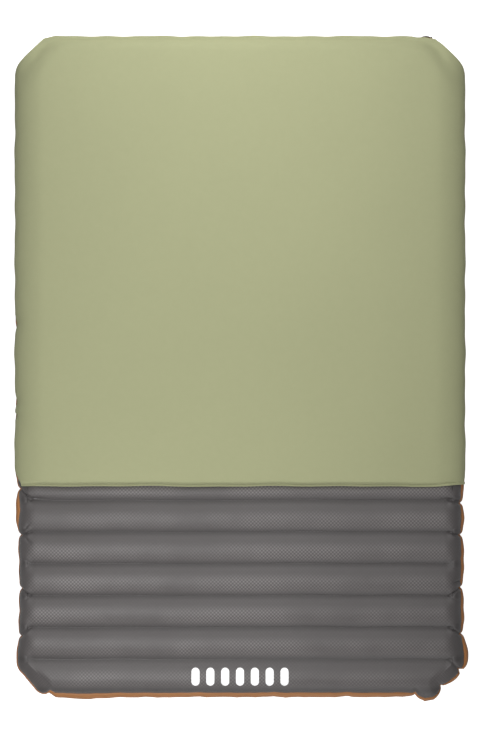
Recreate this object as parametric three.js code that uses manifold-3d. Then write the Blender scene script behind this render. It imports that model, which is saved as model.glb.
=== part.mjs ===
// Two-person inflatable sleeping pad with a foam pillow top over the head two thirds.
//
// An air casing of two sheets is held flat by transverse ribs. A foam slab lies on the casing under a
// knitted cover, and a two-level valve sits in the wall of the head end. Z is up, +Y points to the head,
// and the origin is at the bottom centre of the whole object. All lengths are in millimetres.

import * as THREE from "three";
import { mergeVertices } from "three/addons/utils/BufferGeometryUtils.js";
import Module from "manifold-3d";

const wasm = await Module();
wasm.setup();

// Driving dimensions: overall
const LENGTH = 1880; // head edge to foot edge, over the cover
const WIDTH = 1284; // side edge to side edge, over the cover
const CORNER_CUT = 90; // how much of each side a clipped corner takes away
const CORNER_INNER_ROUND = 6; // rounding of a clipped corner at the innermost line that is carried round it

// Air casing
const AIR_HEIGHT = 84; // floor to crest of a chamber
const EDGE_ROLL = 36; // plan depth of the rounded wall, from its widest line to the flat
const SEAM_ANGLE = 32; // degrees above the widest line where the two sheets are welded together
const SEAM_GAP_ANGLE = 0.4; // degrees each sheet stops short of the weld line
const SHEET_THICKNESS = 1.2;
const CHANNEL_DEPTH = 14; // how far a rib holds a sheet back from its crests
const CREST_SHARE = 1 / 3; // share of a chamber's pitch that is flat crest

// Ribs
const RIB_COUNT = 19;
const FOOT_CHAMBER = 114; // foot edge to the first rib
const HEAD_CHAMBER = 142; // last rib to the head edge
const RIB_END_TAPER = 18; // from a rib's end to the start of the rounded wall
const RIB_THICKNESS = 1;
const RIB_FLANGE = 8; // weld flange along a rib's top and bottom

// Foam and cover
const FOAM_THICKNESS = 24;
const FOAM_SETBACK = 30; // foot end of the foam to the cover's hem
const FOAM_ROLL_SHARE = 0.42; // how far round the pillow edge the foam reaches
const FOAM_EASE_SHARE = 0.3; // share of the foam's thickness that its foot edge is eased by
const COVER_THICKNESS = 1.3;
const COVER_CLEARANCE = 1.2; // between cover and casing
const PILLOW_ROLL = 52; // plan depth of the cover's rounded edge
const PILLOW_SQUARENESS = 2.6; // exponent of the edge's superellipse: 2 is round, more is squarer
const COVERED_LENGTH = 1276; // head edge to the foot edge of the hem
const COVER_TUCK = 6; // how far the cover reaches below the widest line
const HEM_BAND = 9; // width of the binding sewn to the hem
const HEM_RISE = 30; // length over which the cover climbs from the hem onto the foam
const CLIMB_POWER = 0.6; // exponent of that climb: less is steeper at the hem

// Valve, in its own frame: the axis points out of the wall
const VALVE_FROM_SIDE = 110; // valve axis to the casing's side edge
const VALVE_TILT = 13; // degrees the axis points below level
const VALVE_SINK = 3; // how far the valve's datum sits inside the wall
const FLANGE_RADIUS = 21;
const INNER_FLANGE_RADIUS = 22.5;
const FLANGE_THICKNESS = 1.4;
const BARREL_DEPTH = 9.5;
const DEFLATE_BORE = 12.6;
const BARREL_WALL = 2.4;
const COLLAR_RADIUS = 16;
const COLLAR_PLUG_DEPTH = 3;
const COLLAR_PLUG_TAPER = 1.4;
const PORT_BORE = 8;
const PORT_WALL = 1.6;
const PORT_RIM = 1.2; // height of the port's rim above the collar
const CAP_RADIUS = 14.5;
const CAP_SKIRT_WALL = 1.4;
const GASKET_THICKNESS = 0.7;
const FLAP_THICKNESS = 0.7;
const LIFT_TAB = 3.2; // reach of a finger tab past its rim
const HINGE_PIN = 0.8; // radius of a snap-in hinge pin
const HINGE_BARREL = 1.3; // radius of the barrel that carries it
const HINGE_LENGTH = 8;
const HINGE_EAR = 1.8; // thickness of one ear
const PIN_REACH = 0.8; // share of an ear's thickness that a pin fills
const EAR_WALL = 0.6; // an ear's wall past its barrel
const EAR_BED = 0.5; // how deep an ear is let into its flange
const ARM_BED = 1; // how far a hinge arm reaches into its flange
const TAB_BED = 3; // how far a tab or bridge reaches into its flange
const STEP_DOWN = 0.2; // how far tabs and arms lie below the face they join
const COLLAR_TAB_HALF_WIDTH = 5;
const CAP_TAB_HALF_WIDTH = 4.5;
const CHAMFER = 0.4; // broken edges of the base, collar and cap
const GRIP_RADIUS = 9; // shallow recess in the cap's face
const GRIP_DEPTH = 0.6;
const GRIP_SLOPE = 1;
const HUB_RADIUS = 2.4; // spider behind the port
const SPIDER_THICKNESS = 1.2;
const SPOKE_WIDTH = 1.4;
const SPOKE_BED = 0.8;
const FLAP_OVERLAP = 1.2; // how far the flap covers the port's rim
const FLAP_CHAMFER = 0.2;
const GASKET_INSIDE = 0.4; // collar gasket's inner edge outside the bore
const GASKET_OUTSIDE = 0.8; // collar gasket's outer edge inside the collar's
const PORT_GASKET_INSET = 0.15;

// Fits
const GAP = 0.35; // between pieces that touch
const PIN_CLEARANCE = 0.25;
const HOLE_CLEARANCE = 0.5; // wall hole around the valve's flange
const NOTCH_CLEARANCE = 3.5; // cover's cut-out around the valve's flange

// Fineness of the round shapes, as sides in a full turn
const TURN = 26;
const ROD_TURN = 16;
const PIN_TURN = 12;
const ARC_ANGLES = [0, 15, 30, 45];
const CLIMB_SHARES = [0, 0.1, 0.3, 0.6, 1];
const EDGE_SHARES = [0, 0.1, 0.25, 0.42, 0.58, 0.74, 0.88, 1];
const TOP_WALL_ANGLES = [61];
const BOTTOM_WALL_ANGLES = [60, 30, 0];
const SAME_POINT = 1e-4;

// Colour and roughness of each finish
const TOP_FABRIC = [0x6c6868, 0.55];
const BOTTOM_FABRIC = [0xa8733f, 0.6];
const RIB_FILM = [0x5d5a5a, 0.6];
const FOAM = [0xe9e2c4, 0.95];
const KNIT = [0xb2b48d, 0.9];
const BINDING = [0xa9ab84, 0.9];
const CREAM_PLASTIC = [0xc9a97a, 0.5];
const BROWN_PLASTIC = [0x3d2c1c, 0.5];
const RUBBER = [0x1e1d1c, 0.8];
const SILICONE = [0x8d8a84, 0.6];

const degrees = (angle) => (angle * Math.PI) / 180;
const MIDDLE = AIR_HEIGHT / 2;
const COVER_OUT = COVER_CLEARANCE + COVER_THICKNESS;
const HALF_X = WIDTH / 2 - COVER_OUT;
const HALF_Y = (LENGTH - COVER_OUT) / 2;
const CREST = AIR_HEIGHT;
const FOAM_BOTTOM = CREST + GAP;
const FOAM_TOP = FOAM_BOTTOM + FOAM_THICKNESS;
const PILLOW_TOP = FOAM_TOP + GAP;
const HEM_Y = HALF_Y + COVER_OUT - COVERED_LENGTH;
const RIB_PITCH = (2 * HALF_Y - FOOT_CHAMBER - HEAD_CHAMBER) / (RIB_COUNT - 1);
const ribY = (index) => -HALF_Y + FOOT_CHAMBER + index * RIB_PITCH;

// ---- Outline of the pad: a rectangle with clipped and rounded corners ----

const ROUND = PILLOW_ROLL + CORNER_INNER_ROUND;
const TANGENT = ROUND * Math.tan(Math.PI / 8);
const SIDE_ARC = { x: HALF_X - ROUND, y: HALF_Y - CORNER_CUT - TANGENT };
const END_ARC = { x: HALF_X - CORNER_CUT - TANGENT, y: HALF_Y - ROUND };

// Half width of the outline at a row, moved inwards by inset, with the outward direction there.
function edgeAt(y, inset) {
  const radius = ROUND - inset;
  const high = Math.abs(y);
  const way = Math.sign(y) || 1;
  const turned = (arc) => {
    const angle = Math.asin(Math.min(1, (high - arc.y) / radius));
    return { x: arc.x + radius * Math.cos(angle), nx: Math.cos(angle), ny: way * Math.sin(angle) };
  };
  if (high <= SIDE_ARC.y) return { x: HALF_X - inset, nx: 1, ny: 0 };
  const sideEnd = SIDE_ARC.y + radius * Math.SQRT1_2;
  if (high <= sideEnd) return turned(SIDE_ARC);
  if (high >= END_ARC.y + radius * Math.SQRT1_2) return turned(END_ARC);
  return {
    x: SIDE_ARC.x + radius * Math.SQRT1_2 - (high - sideEnd),
    nx: Math.SQRT1_2,
    ny: way * Math.SQRT1_2,
  };
}

// Rows that carry a clipped corner's two arcs, for one end of the pad.
function cornerRows(inset) {
  const radius = ROUND - inset;
  const up = (arc, angle) => arc.y + radius * Math.sin(degrees(angle));
  const side = ARC_ANGLES.map((angle) => up(SIDE_ARC, angle));
  const end = ARC_ANGLES.map((angle) => up(END_ARC, 45 + angle));
  return [...side, ...end];
}

function sortedRows(rows, closest = 0.1) {
  const sorted = [...rows].sort((a, b) => a - b);
  return sorted.filter((row, i) => i === 0 || row - sorted[i - 1] > closest);
}

// ---- Sheets: a grid of rows across the pad, and rings that run on from its edge down the wall ----

// Lays out a sheet's points. ringCount counts the rings past the grid's own edge. An open sheet ends in a
// free edge at its first row, and a closed one runs all the way round.
function layOut(rows, inset, taper, ringCount, open) {
  const points = [];
  const grid = rows.map((y) => {
    const edge = edgeAt(y, inset);
    const across = [-edge.x, -edge.x + taper, 0, edge.x - taper, edge.x];
    return across.map((x, column) => {
      const side = column === 0 ? -1 : 1;
      const rim = column === 0 || column === across.length - 1;
      points.push({ x, y, nx: side * edge.nx, ny: edge.ny, ring: rim ? 0 : -1 });
      return points.length - 1;
    });
  });
  const last = grid.length - 1;
  const right = grid.map((row) => row[4]);
  const left = grid.map((row) => row[0]).reverse();
  const head = [3, 2, 1].map((column) => grid[last][column]);
  const foot = [1, 2, 3].map((column) => grid[0][column]);
  const endwards = (list, ny) => list.forEach((i) => Object.assign(points[i], { nx: 0, ny, ring: 0 }));
  endwards(head, 1);
  if (!open) endwards(foot, -1);
  const path = [...right, ...head, ...left, ...(open ? [] : foot)];
  const rings = [path];
  for (let ring = 1; ring <= ringCount; ring++) {
    rings.push(
      path.map((i) => {
        points.push({ ...points[i], ring });
        return points.length - 1;
      }),
    );
  }
  const triangles = [];
  const quad = (a, b, c, d) => triangles.push([a, b, c], [a, c, d]);
  for (let r = 0; r < last; r++) {
    for (let c = 0; c < 4; c++) quad(grid[r][c], grid[r][c + 1], grid[r + 1][c + 1], grid[r + 1][c]);
  }
  const steps = open ? path.length - 1 : path.length;
  for (let ring = 0; ring < ringCount; ring++) {
    for (let i = 0; i < steps; i++) {
      const next = (i + 1) % path.length;
      quad(rings[ring][i], rings[ring + 1][i], rings[ring + 1][next], rings[ring][next]);
    }
  }
  const outer = rings[ringCount];
  const climb = rings.map((ring) => ring[path.length - 1]).reverse();
  const drop = rings.map((ring) => ring[0]);
  const border = open ? [...outer, ...climb.slice(1), ...foot, ...drop.slice(0, -1)] : outer;
  return { points, triangles, border };
}

// Closes a laid-out sheet between an outer and an inner face, each a function from point to [x, y, z].
function thicken({ points, triangles, border }, outerFace, innerFace) {
  const count = points.length;
  const positions = [...points.map(outerFace), ...points.map(innerFace)].flat();
  const index = triangles.flat();
  for (const [a, b, c] of triangles) index.push(count + a, count + c, count + b);
  border.forEach((from, i) => {
    const to = border[(i + 1) % border.length];
    index.push(to, from, count + from, to, count + from, count + to);
  });
  const geometry = new THREE.BufferGeometry();
  geometry.setAttribute("position", new THREE.Float32BufferAttribute(positions, 3));
  geometry.setIndex(index);
  return outward(geometry);
}

// ---- Solids ----

// Merges a geometry's shared points and turns it so that its faces point outwards.
function outward(source) {
  const geometry = source.clone();
  geometry.deleteAttribute("normal");
  geometry.deleteAttribute("uv");
  const merged = mergeVertices(geometry, SAME_POINT);
  const place = merged.getAttribute("position");
  const corner = (i) => new THREE.Vector3().fromBufferAttribute(place, i);
  const kept = [];
  let volume = 0;
  for (let i = 0; i < merged.index.count; i += 3) {
    const [a, b, c] = [0, 1, 2].map((k) => merged.index.getX(i + k));
    if (a === b || b === c || a === c) continue;
    kept.push([a, b, c]);
    volume += corner(a).dot(corner(b).cross(corner(c)));
  }
  merged.setIndex(kept.flatMap(([a, b, c]) => (volume < 0 ? [a, c, b] : [a, b, c])));
  return merged;
}

function toManifold(geometry) {
  const closed = outward(geometry);
  const vertProperties = new Float32Array(closed.getAttribute("position").array);
  const triVerts = new Uint32Array(closed.index.array);
  return new wasm.Manifold(new wasm.Mesh({ numProp: 3, vertProperties, triVerts }));
}

function fromManifold(solid) {
  const mesh = solid.getMesh();
  const geometry = new THREE.BufferGeometry();
  geometry.setAttribute("position", new THREE.BufferAttribute(mesh.vertProperties, 3));
  geometry.setIndex([...mesh.triVerts]);
  return geometry;
}

function joined(first, ...others) {
  return fromManifold(others.reduce((sum, next) => sum.add(toManifold(next)), toManifold(first)));
}

function cut(first, ...others) {
  return fromManifold(others.reduce((rest, next) => rest.subtract(toManifold(next)), toManifold(first)));
}

// A ring or disc turned about Y from its half section, given as [radius, height] corners.
function turned(corners, closedOnAxis = false) {
  const section = corners.map(([radius, height]) => new THREE.Vector2(radius, height));
  if (!closedOnAxis) section.push(section[0].clone());
  return outward(new THREE.LatheGeometry(section, TURN));
}

function block(from, to) {
  const size = to.map((value, i) => value - from[i]);
  const geometry = new THREE.BoxGeometry(...size);
  return geometry.translate(...from.map((value, i) => value + size[i] / 2));
}

// A round bar along Z, centred at x, y.
function bar(radius, length, x, y, sides = ROD_TURN) {
  return new THREE.CylinderGeometry(radius, radius, length, sides)
    .rotateX(Math.PI / 2)
    .translate(x, y, 0);
}

function piece(name, geometry, [color, roughness]) {
  const material = new THREE.MeshStandardMaterial({ color, roughness, metalness: 0 });
  const mesh = new THREE.Mesh(geometry, material);
  mesh.name = name;
  return mesh;
}

// ---- Air casing ----

// How far a sheet is held back from its crests at a row: full at a rib, nothing on a crest.
function heldBack(y) {
  const slope = (RIB_PITCH * (1 - CREST_SHARE)) / 2;
  let nearest = Infinity;
  for (let i = 0; i < RIB_COUNT; i++) nearest = Math.min(nearest, Math.abs(y - ribY(i)));
  return CHANNEL_DEPTH * Math.max(0, 1 - nearest / slope);
}

function casingRows() {
  const slope = (RIB_PITCH * (1 - CREST_SHARE)) / 2;
  const rows = cornerRows(EDGE_ROLL).flatMap((y) => [-y, y]);
  for (let i = 0; i < RIB_COUNT; i++) rows.push(ribY(i) - slope, ribY(i), ribY(i) + slope);
  return sortedRows(rows);
}

// One half of the casing, with angles from the crest line (90 degrees) round the wall. side is 1 for the
// top sheet and -1 for the bottom sheet, whose angles run on past the widest line.
function casingSheet(side, angles) {
  const layout = layOut(casingRows(), EDGE_ROLL, RIB_END_TAPER, angles.length, false);
  const face = (skin) => (point) => {
    const { x, y, nx, ny, ring } = point;
    if (ring < 0) return [x, y, MIDDLE + side * (MIDDLE - heldBack(y) - skin)];
    const angle = ring === 0 ? Math.PI / 2 : degrees(angles[ring - 1]);
    const out = (EDGE_ROLL - skin) * Math.cos(angle);
    return [x + nx * out, y + ny * out, MIDDLE + side * (MIDDLE - skin) * Math.sin(angle)];
  };
  return thicken(layout, face(0), face(SHEET_THICKNESS));
}

function rib(y) {
  const low = CHANNEL_DEPTH + SHEET_THICKNESS + GAP;
  const high = AIR_HEIGHT - low;
  const half = edgeAt(y, EDGE_ROLL).x - RIB_END_TAPER - GAP;
  const section = new THREE.Shape();
  section.moveTo(0, low);
  section.lineTo(RIB_FLANGE, low);
  section.lineTo(RIB_FLANGE, low + RIB_THICKNESS);
  section.lineTo(RIB_THICKNESS, low + RIB_THICKNESS);
  section.lineTo(RIB_THICKNESS, high - RIB_THICKNESS);
  section.lineTo(RIB_FLANGE, high - RIB_THICKNESS);
  section.lineTo(RIB_FLANGE, high);
  section.lineTo(0, high);
  const web = new THREE.ExtrudeGeometry(section, { depth: 2 * half, bevelEnabled: false, steps: 1 });
  web.rotateX(Math.PI / 2).rotateZ(Math.PI / 2);
  return outward(web.translate(-half, y - RIB_THICKNESS / 2, 0));
}

// ---- Pillow top ----

// The pillow's rounded edge: share 0 is the flat top's edge, 1 the widest line. grow moves it outwards.
function pillowEdge(share, grow) {
  const power = 2 / PILLOW_SQUARENESS;
  const out = Math.sin((share * Math.PI) / 2) ** power;
  const up = Math.cos((share * Math.PI) / 2) ** power;
  return {
    inset: PILLOW_ROLL * (1 - out) - (COVER_CLEARANCE + grow) * out,
    z: MIDDLE + (PILLOW_TOP + grow - MIDDLE) * up,
  };
}

// The cover where it lies on the casing's rounded wall, for the same share.
function snugEdge(share, grow) {
  const angle = ((1 - share) * Math.PI) / 2;
  const off = COVER_CLEARANCE + grow;
  const inset = share === 0 ? PILLOW_ROLL : EDGE_ROLL * (1 - Math.cos(angle)) - off * Math.cos(angle);
  return { inset, z: MIDDLE + (MIDDLE + off) * Math.sin(angle) };
}

// The cover at one ring of its edge, from lying on the casing (climb 0) to lying on the foam (climb 1).
// The ring past the widest line is the cover's free edge, tucked below it.
function coverEdge(ring, climb, grow) {
  const share = EDGE_SHARES[Math.min(ring, EDGE_SHARES.length - 1)];
  const pillow = pillowEdge(share, grow);
  if (ring === EDGE_SHARES.length) return { inset: pillow.inset, z: MIDDLE - COVER_TUCK };
  const snug = snugEdge(share, grow);
  const between = (low, high) => low + (high - low) * climb;
  return { inset: between(snug.inset, pillow.inset), z: between(snug.z, pillow.z) };
}

const COVER_START = HEM_Y + HEM_BAND + GAP;
const climbAt = (y) => Math.min(1, Math.max(0, (y - COVER_START) / HEM_RISE)) ** CLIMB_POWER;

function coverShell() {
  const climbing = CLIMB_SHARES.map((share) => COVER_START + share * HEM_RISE);
  const rows = sortedRows([...climbing, 0, ...cornerRows(PILLOW_ROLL)]);
  const layout = layOut(rows, PILLOW_ROLL, PILLOW_ROLL, EDGE_SHARES.length, true);
  const face = (grow) => (point) => {
    const { x, y, nx, ny, ring } = point;
    const edge = coverEdge(Math.max(0, ring), climbAt(y), grow);
    const out = ring < 0 ? 0 : PILLOW_ROLL - edge.inset;
    return [x + nx * out, y + ny * out, edge.z];
  };
  return thicken(layout, face(COVER_THICKNESS), face(0));
}

function foamSlab() {
  const start = HEM_Y + FOAM_SETBACK + HEM_BAND;
  const rows = sortedRows([start, start + FOAM_THICKNESS / 2, 0, ...cornerRows(PILLOW_ROLL)]);
  const shares = [0.5, 1].map((part) => part * FOAM_ROLL_SHARE);
  const layout = layOut(rows, PILLOW_ROLL, PILLOW_ROLL, shares.length, true);
  const spread = (point) => {
    const share = point.ring > 0 ? shares[point.ring - 1] : 0;
    const edge = pillowEdge(share, -GAP - COVER_CLEARANCE);
    const out = point.ring > 0 ? PILLOW_ROLL - edge.inset - GAP : 0;
    const ease = point.y === start ? FOAM_THICKNESS * FOAM_EASE_SHARE : 0;
    const top = Math.min(FOAM_TOP, edge.z - GAP) - ease;
    return { x: point.x + point.nx * out, y: point.y + point.ny * out, top };
  };
  const top = (point) => {
    const at = spread(point);
    return [at.x, at.y, at.top];
  };
  const bottom = (point) => {
    const at = spread(point);
    return [at.x, at.y, FOAM_BOTTOM];
  };
  return thicken(layout, top, bottom);
}

// The binding along the hem follows the casing from one side wall, over the top, to the other.
function hemBinding() {
  const arch = (grow) => {
    const half = [];
    for (let ring = EDGE_SHARES.length; ring >= 0; ring--) {
      const edge = coverEdge(ring, 0, grow);
      half.push([HALF_X - edge.inset, edge.z]);
    }
    return [...half, ...half.map(([x, z]) => [-x, z]).reverse()];
  };
  const section = new THREE.Shape();
  const corners = [...arch(COVER_THICKNESS), ...arch(0).reverse()];
  corners.forEach(([x, z], i) => (i ? section.lineTo(x, z) : section.moveTo(x, z)));
  const band = new THREE.ExtrudeGeometry(section, { depth: HEM_BAND, bevelEnabled: false, steps: 1 });
  return outward(band.rotateX(Math.PI / 2).translate(0, HEM_Y + HEM_BAND, 0));
}

// ---- Valve: levels along its axis, counted outwards from its datum ----

const FLANGE_TOP = FLANGE_THICKNESS;
const COLLAR_GASKET = FLANGE_TOP + GAP;
const COLLAR_BOTTOM = COLLAR_GASKET + GASKET_THICKNESS + GAP;
const COLLAR_TOP = COLLAR_BOTTOM + FLANGE_THICKNESS;
const RIM_TOP = COLLAR_TOP + PORT_RIM;
const CAP_GASKET = RIM_TOP + GAP;
const CAP_BOTTOM = CAP_GASKET + GASKET_THICKNESS + GAP;
const CAP_TOP = CAP_BOTTOM + FLANGE_THICKNESS;
const EAR_REACH = HINGE_BARREL + EAR_WALL;
const COLLAR_HINGE = { x: -(COLLAR_RADIUS + EAR_REACH + GAP), y: COLLAR_BOTTOM + HINGE_BARREL };
const CAP_HINGE = { x: CAP_RADIUS + EAR_REACH + GAP, y: CAP_BOTTOM + HINGE_BARREL / 2 };
const SPIDER_BOTTOM = -COLLAR_PLUG_DEPTH;
const FLAP_TOP = SPIDER_BOTTOM - GAP;
const FLAP_RADIUS = PORT_BORE + FLAP_OVERLAP;

// Two ears on a flange that hold the pins of a snap-in hinge barrel, with their inner faces clear of it.
function hingeEars(hinge, base) {
  const near = HINGE_LENGTH / 2 + GAP;
  const ears = [-1, 1].map((way) => {
    const [low, high] = way < 0 ? [-near - HINGE_EAR, -near] : [near, near + HINGE_EAR];
    return block([hinge.x - EAR_REACH, base, low], [hinge.x + EAR_REACH, hinge.y + EAR_REACH, high]);
  });
  const hole = bar(HINGE_PIN + PIN_CLEARANCE, 3 * (near + HINGE_EAR), hinge.x, hinge.y);
  return { ears, hole };
}

// The moving half of a snap-in hinge: a barrel with a pin at each end and an arm back to its flange.
function hingeBarrel(hinge, side, rim, low, high) {
  const pinLength = HINGE_LENGTH + 2 * GAP + 2 * HINGE_EAR * PIN_REACH;
  const arm = [Math.min(hinge.x, side * rim), Math.max(hinge.x, side * rim)];
  return [
    bar(HINGE_BARREL, HINGE_LENGTH, hinge.x, hinge.y),
    bar(HINGE_PIN, pinLength, hinge.x, hinge.y, PIN_TURN),
    block([arm[0], low, -HINGE_LENGTH / 2], [arm[1], high, HINGE_LENGTH / 2]),
  ];
}

function valveBase() {
  const barrel = DEFLATE_BORE + BARREL_WALL;
  const body = turned([
    [DEFLATE_BORE, -BARREL_DEPTH],
    [INNER_FLANGE_RADIUS, -BARREL_DEPTH],
    [INNER_FLANGE_RADIUS, -BARREL_DEPTH + FLANGE_THICKNESS],
    [barrel, -BARREL_DEPTH + FLANGE_THICKNESS],
    [barrel, 0],
    [FLANGE_RADIUS, 0],
    [FLANGE_RADIUS, FLANGE_TOP - CHAMFER],
    [FLANGE_RADIUS - CHAMFER, FLANGE_TOP],
    [DEFLATE_BORE + CHAMFER, FLANGE_TOP],
    [DEFLATE_BORE, FLANGE_TOP - CHAMFER],
  ]);
  const { ears, hole } = hingeEars(COLLAR_HINGE, FLANGE_TOP - EAR_BED);
  return cut(joined(body, ...ears), hole);
}

function valveCollar() {
  const plug = DEFLATE_BORE - GAP;
  const port = PORT_BORE + PORT_WALL;
  const top = COLLAR_TOP - STEP_DOWN;
  const body = turned([
    [PORT_BORE, SPIDER_BOTTOM],
    [plug - COLLAR_PLUG_TAPER, SPIDER_BOTTOM],
    [plug, FLANGE_TOP - CHAMFER],
    [plug, COLLAR_BOTTOM],
    [COLLAR_RADIUS, COLLAR_BOTTOM],
    [COLLAR_RADIUS, COLLAR_TOP - CHAMFER],
    [COLLAR_RADIUS - CHAMFER, COLLAR_TOP],
    [port, COLLAR_TOP],
    [port, RIM_TOP - CHAMFER],
    [port - CHAMFER, RIM_TOP],
    [PORT_BORE, RIM_TOP],
  ]);
  const spiderTop = SPIDER_BOTTOM + SPIDER_THICKNESS;
  const hub = new THREE.CylinderGeometry(HUB_RADIUS, HUB_RADIUS, SPIDER_THICKNESS, ROD_TURN)
    .translate(0, SPIDER_BOTTOM + SPIDER_THICKNESS / 2, 0);
  const spoke = block(
    [0, SPIDER_BOTTOM, -SPOKE_WIDTH / 2],
    [PORT_BORE + SPOKE_BED, spiderTop, SPOKE_WIDTH / 2],
  );
  const spokes = [90, 210, 330].map((angle) => spoke.clone().rotateY(degrees(angle)));
  const tab = block(
    [-COLLAR_TAB_HALF_WIDTH, COLLAR_BOTTOM, -COLLAR_RADIUS - LIFT_TAB],
    [COLLAR_TAB_HALF_WIDTH, top, -COLLAR_RADIUS + TAB_BED],
  );
  const barrel = hingeBarrel(COLLAR_HINGE, -1, COLLAR_RADIUS - ARM_BED, COLLAR_BOTTOM, top);
  const { ears, hole } = hingeEars(CAP_HINGE, COLLAR_TOP - EAR_BED);
  const bridgeHalf = HINGE_LENGTH / 2 + GAP + HINGE_EAR;
  const bridge = block(
    [COLLAR_RADIUS - TAB_BED, COLLAR_BOTTOM, -bridgeHalf],
    [CAP_HINGE.x + EAR_REACH, top, bridgeHalf],
  );
  return cut(joined(body, hub, ...spokes, tab, ...barrel, bridge, ...ears), hole);
}

const gasket = (inner, outer, low) =>
  turned([
    [inner, low],
    [outer, low],
    [outer, low + GASKET_THICKNESS],
    [inner, low + GASKET_THICKNESS],
  ]);

// The flap hangs from a thick edge bead that is its hinge.
function valveFlap() {
  const disc = turned(
    [
      [0, FLAP_TOP - FLAP_THICKNESS],
      [FLAP_RADIUS - FLAP_CHAMFER, FLAP_TOP - FLAP_THICKNESS],
      [FLAP_RADIUS, FLAP_TOP - FLAP_THICKNESS + FLAP_CHAMFER],
      [FLAP_RADIUS, FLAP_TOP],
      [0, FLAP_TOP],
    ],
    true,
  );
  const bead = bar(FLAP_THICKNESS / 2, PORT_BORE, 0, 0).rotateY(Math.PI / 2);
  return joined(disc, bead.translate(0, FLAP_TOP - FLAP_THICKNESS / 2, FLAP_RADIUS));
}

function valveCap() {
  const skirt = PORT_BORE + PORT_WALL + GAP;
  const top = CAP_TOP - STEP_DOWN;
  const body = turned(
    [
      [0, CAP_BOTTOM],
      [skirt, CAP_BOTTOM],
      [skirt, COLLAR_TOP + GAP],
      [skirt + CAP_SKIRT_WALL, COLLAR_TOP + GAP],
      [skirt + CAP_SKIRT_WALL, CAP_BOTTOM],
      [CAP_RADIUS, CAP_BOTTOM],
      [CAP_RADIUS, CAP_TOP - CHAMFER],
      [CAP_RADIUS - CHAMFER, CAP_TOP],
      [GRIP_RADIUS + GRIP_SLOPE, CAP_TOP],
      [GRIP_RADIUS, CAP_TOP - GRIP_DEPTH],
      [0, CAP_TOP - GRIP_DEPTH],
    ],
    true,
  );
  const tab = block(
    [-CAP_RADIUS - LIFT_TAB, CAP_BOTTOM, -CAP_TAB_HALF_WIDTH],
    [-CAP_RADIUS + TAB_BED, top, CAP_TAB_HALF_WIDTH],
  );
  const barrel = hingeBarrel(CAP_HINGE, 1, CAP_RADIUS - ARM_BED, CAP_BOTTOM, top);
  return joined(body, tab, ...barrel);
}

// Where the valve sits: on the wall of the head end, turned down with it.
const valve = new THREE.Group();
const tilt = degrees(VALVE_TILT);
valve.position.set(
  HALF_X - VALVE_FROM_SIDE,
  HALF_Y - EDGE_ROLL * (1 - Math.cos(tilt)) - VALVE_SINK * Math.cos(tilt),
  MIDDLE - MIDDLE * Math.sin(tilt) + VALVE_SINK * Math.sin(tilt),
);
valve.rotation.x = -tilt;
valve.updateMatrix();

// A round cutter along the valve's axis, from behind the wall to well outside it.
function valveCutter(radius) {
  const length = 3 * BARREL_DEPTH;
  return new THREE.CylinderGeometry(radius, radius, 2 * length, 2 * TURN).applyMatrix4(valve.matrix);
}

const collarRing = gasket(DEFLATE_BORE + GASKET_INSIDE, COLLAR_RADIUS - GASKET_OUTSIDE, COLLAR_GASKET);
const portOutside = PORT_BORE + PORT_WALL;
const capRing = gasket(PORT_BORE + PORT_GASKET_INSET, portOutside - PORT_GASKET_INSET, CAP_GASKET);
valve.add(
  piece("valve_base", valveBase(), CREAM_PLASTIC),
  piece("valve_collar", valveCollar(), BROWN_PLASTIC),
  piece("collar_gasket", collarRing, RUBBER),
  piece("one_way_flap", valveFlap(), SILICONE),
  piece("valve_cap", valveCap(), BROWN_PLASTIC),
  piece("cap_gasket", capRing, RUBBER),
);

// ---- The whole pad ----

const wallHole = valveCutter(FLANGE_RADIUS + HOLE_CLEARANCE);
const coverNotch = valveCutter(FLANGE_RADIUS + NOTCH_CLEARANCE);
const topAngles = [...TOP_WALL_ANGLES, SEAM_ANGLE + SEAM_GAP_ANGLE];
const bottomAngles = [...BOTTOM_WALL_ANGLES, SEAM_GAP_ANGLE - SEAM_ANGLE];

const pad = new THREE.Group();
pad.add(
  piece("top_sheet", casingSheet(1, topAngles), TOP_FABRIC),
  piece("bottom_sheet", cut(casingSheet(-1, bottomAngles), wallHole), BOTTOM_FABRIC),
  piece("foam_layer", foamSlab(), FOAM),
  piece("pillow_cover", cut(coverShell(), coverNotch), KNIT),
  piece("hem_binding", hemBinding(), BINDING),
);
for (let i = 0; i < RIB_COUNT; i++) {
  pad.add(piece(`rib_${String(i + 1).padStart(2, "0")}`, rib(ribY(i)), RIB_FILM));
}
pad.add(valve);

// The origin goes to the bottom centre of everything.
pad.updateMatrixWorld(true);
const bounds = new THREE.Box3().setFromObject(pad, true);
const middle = bounds.getCenter(new THREE.Vector3());
pad.position.set(-middle.x, -middle.y, -bounds.min.z);

export default pad;
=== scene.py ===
import math

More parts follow.
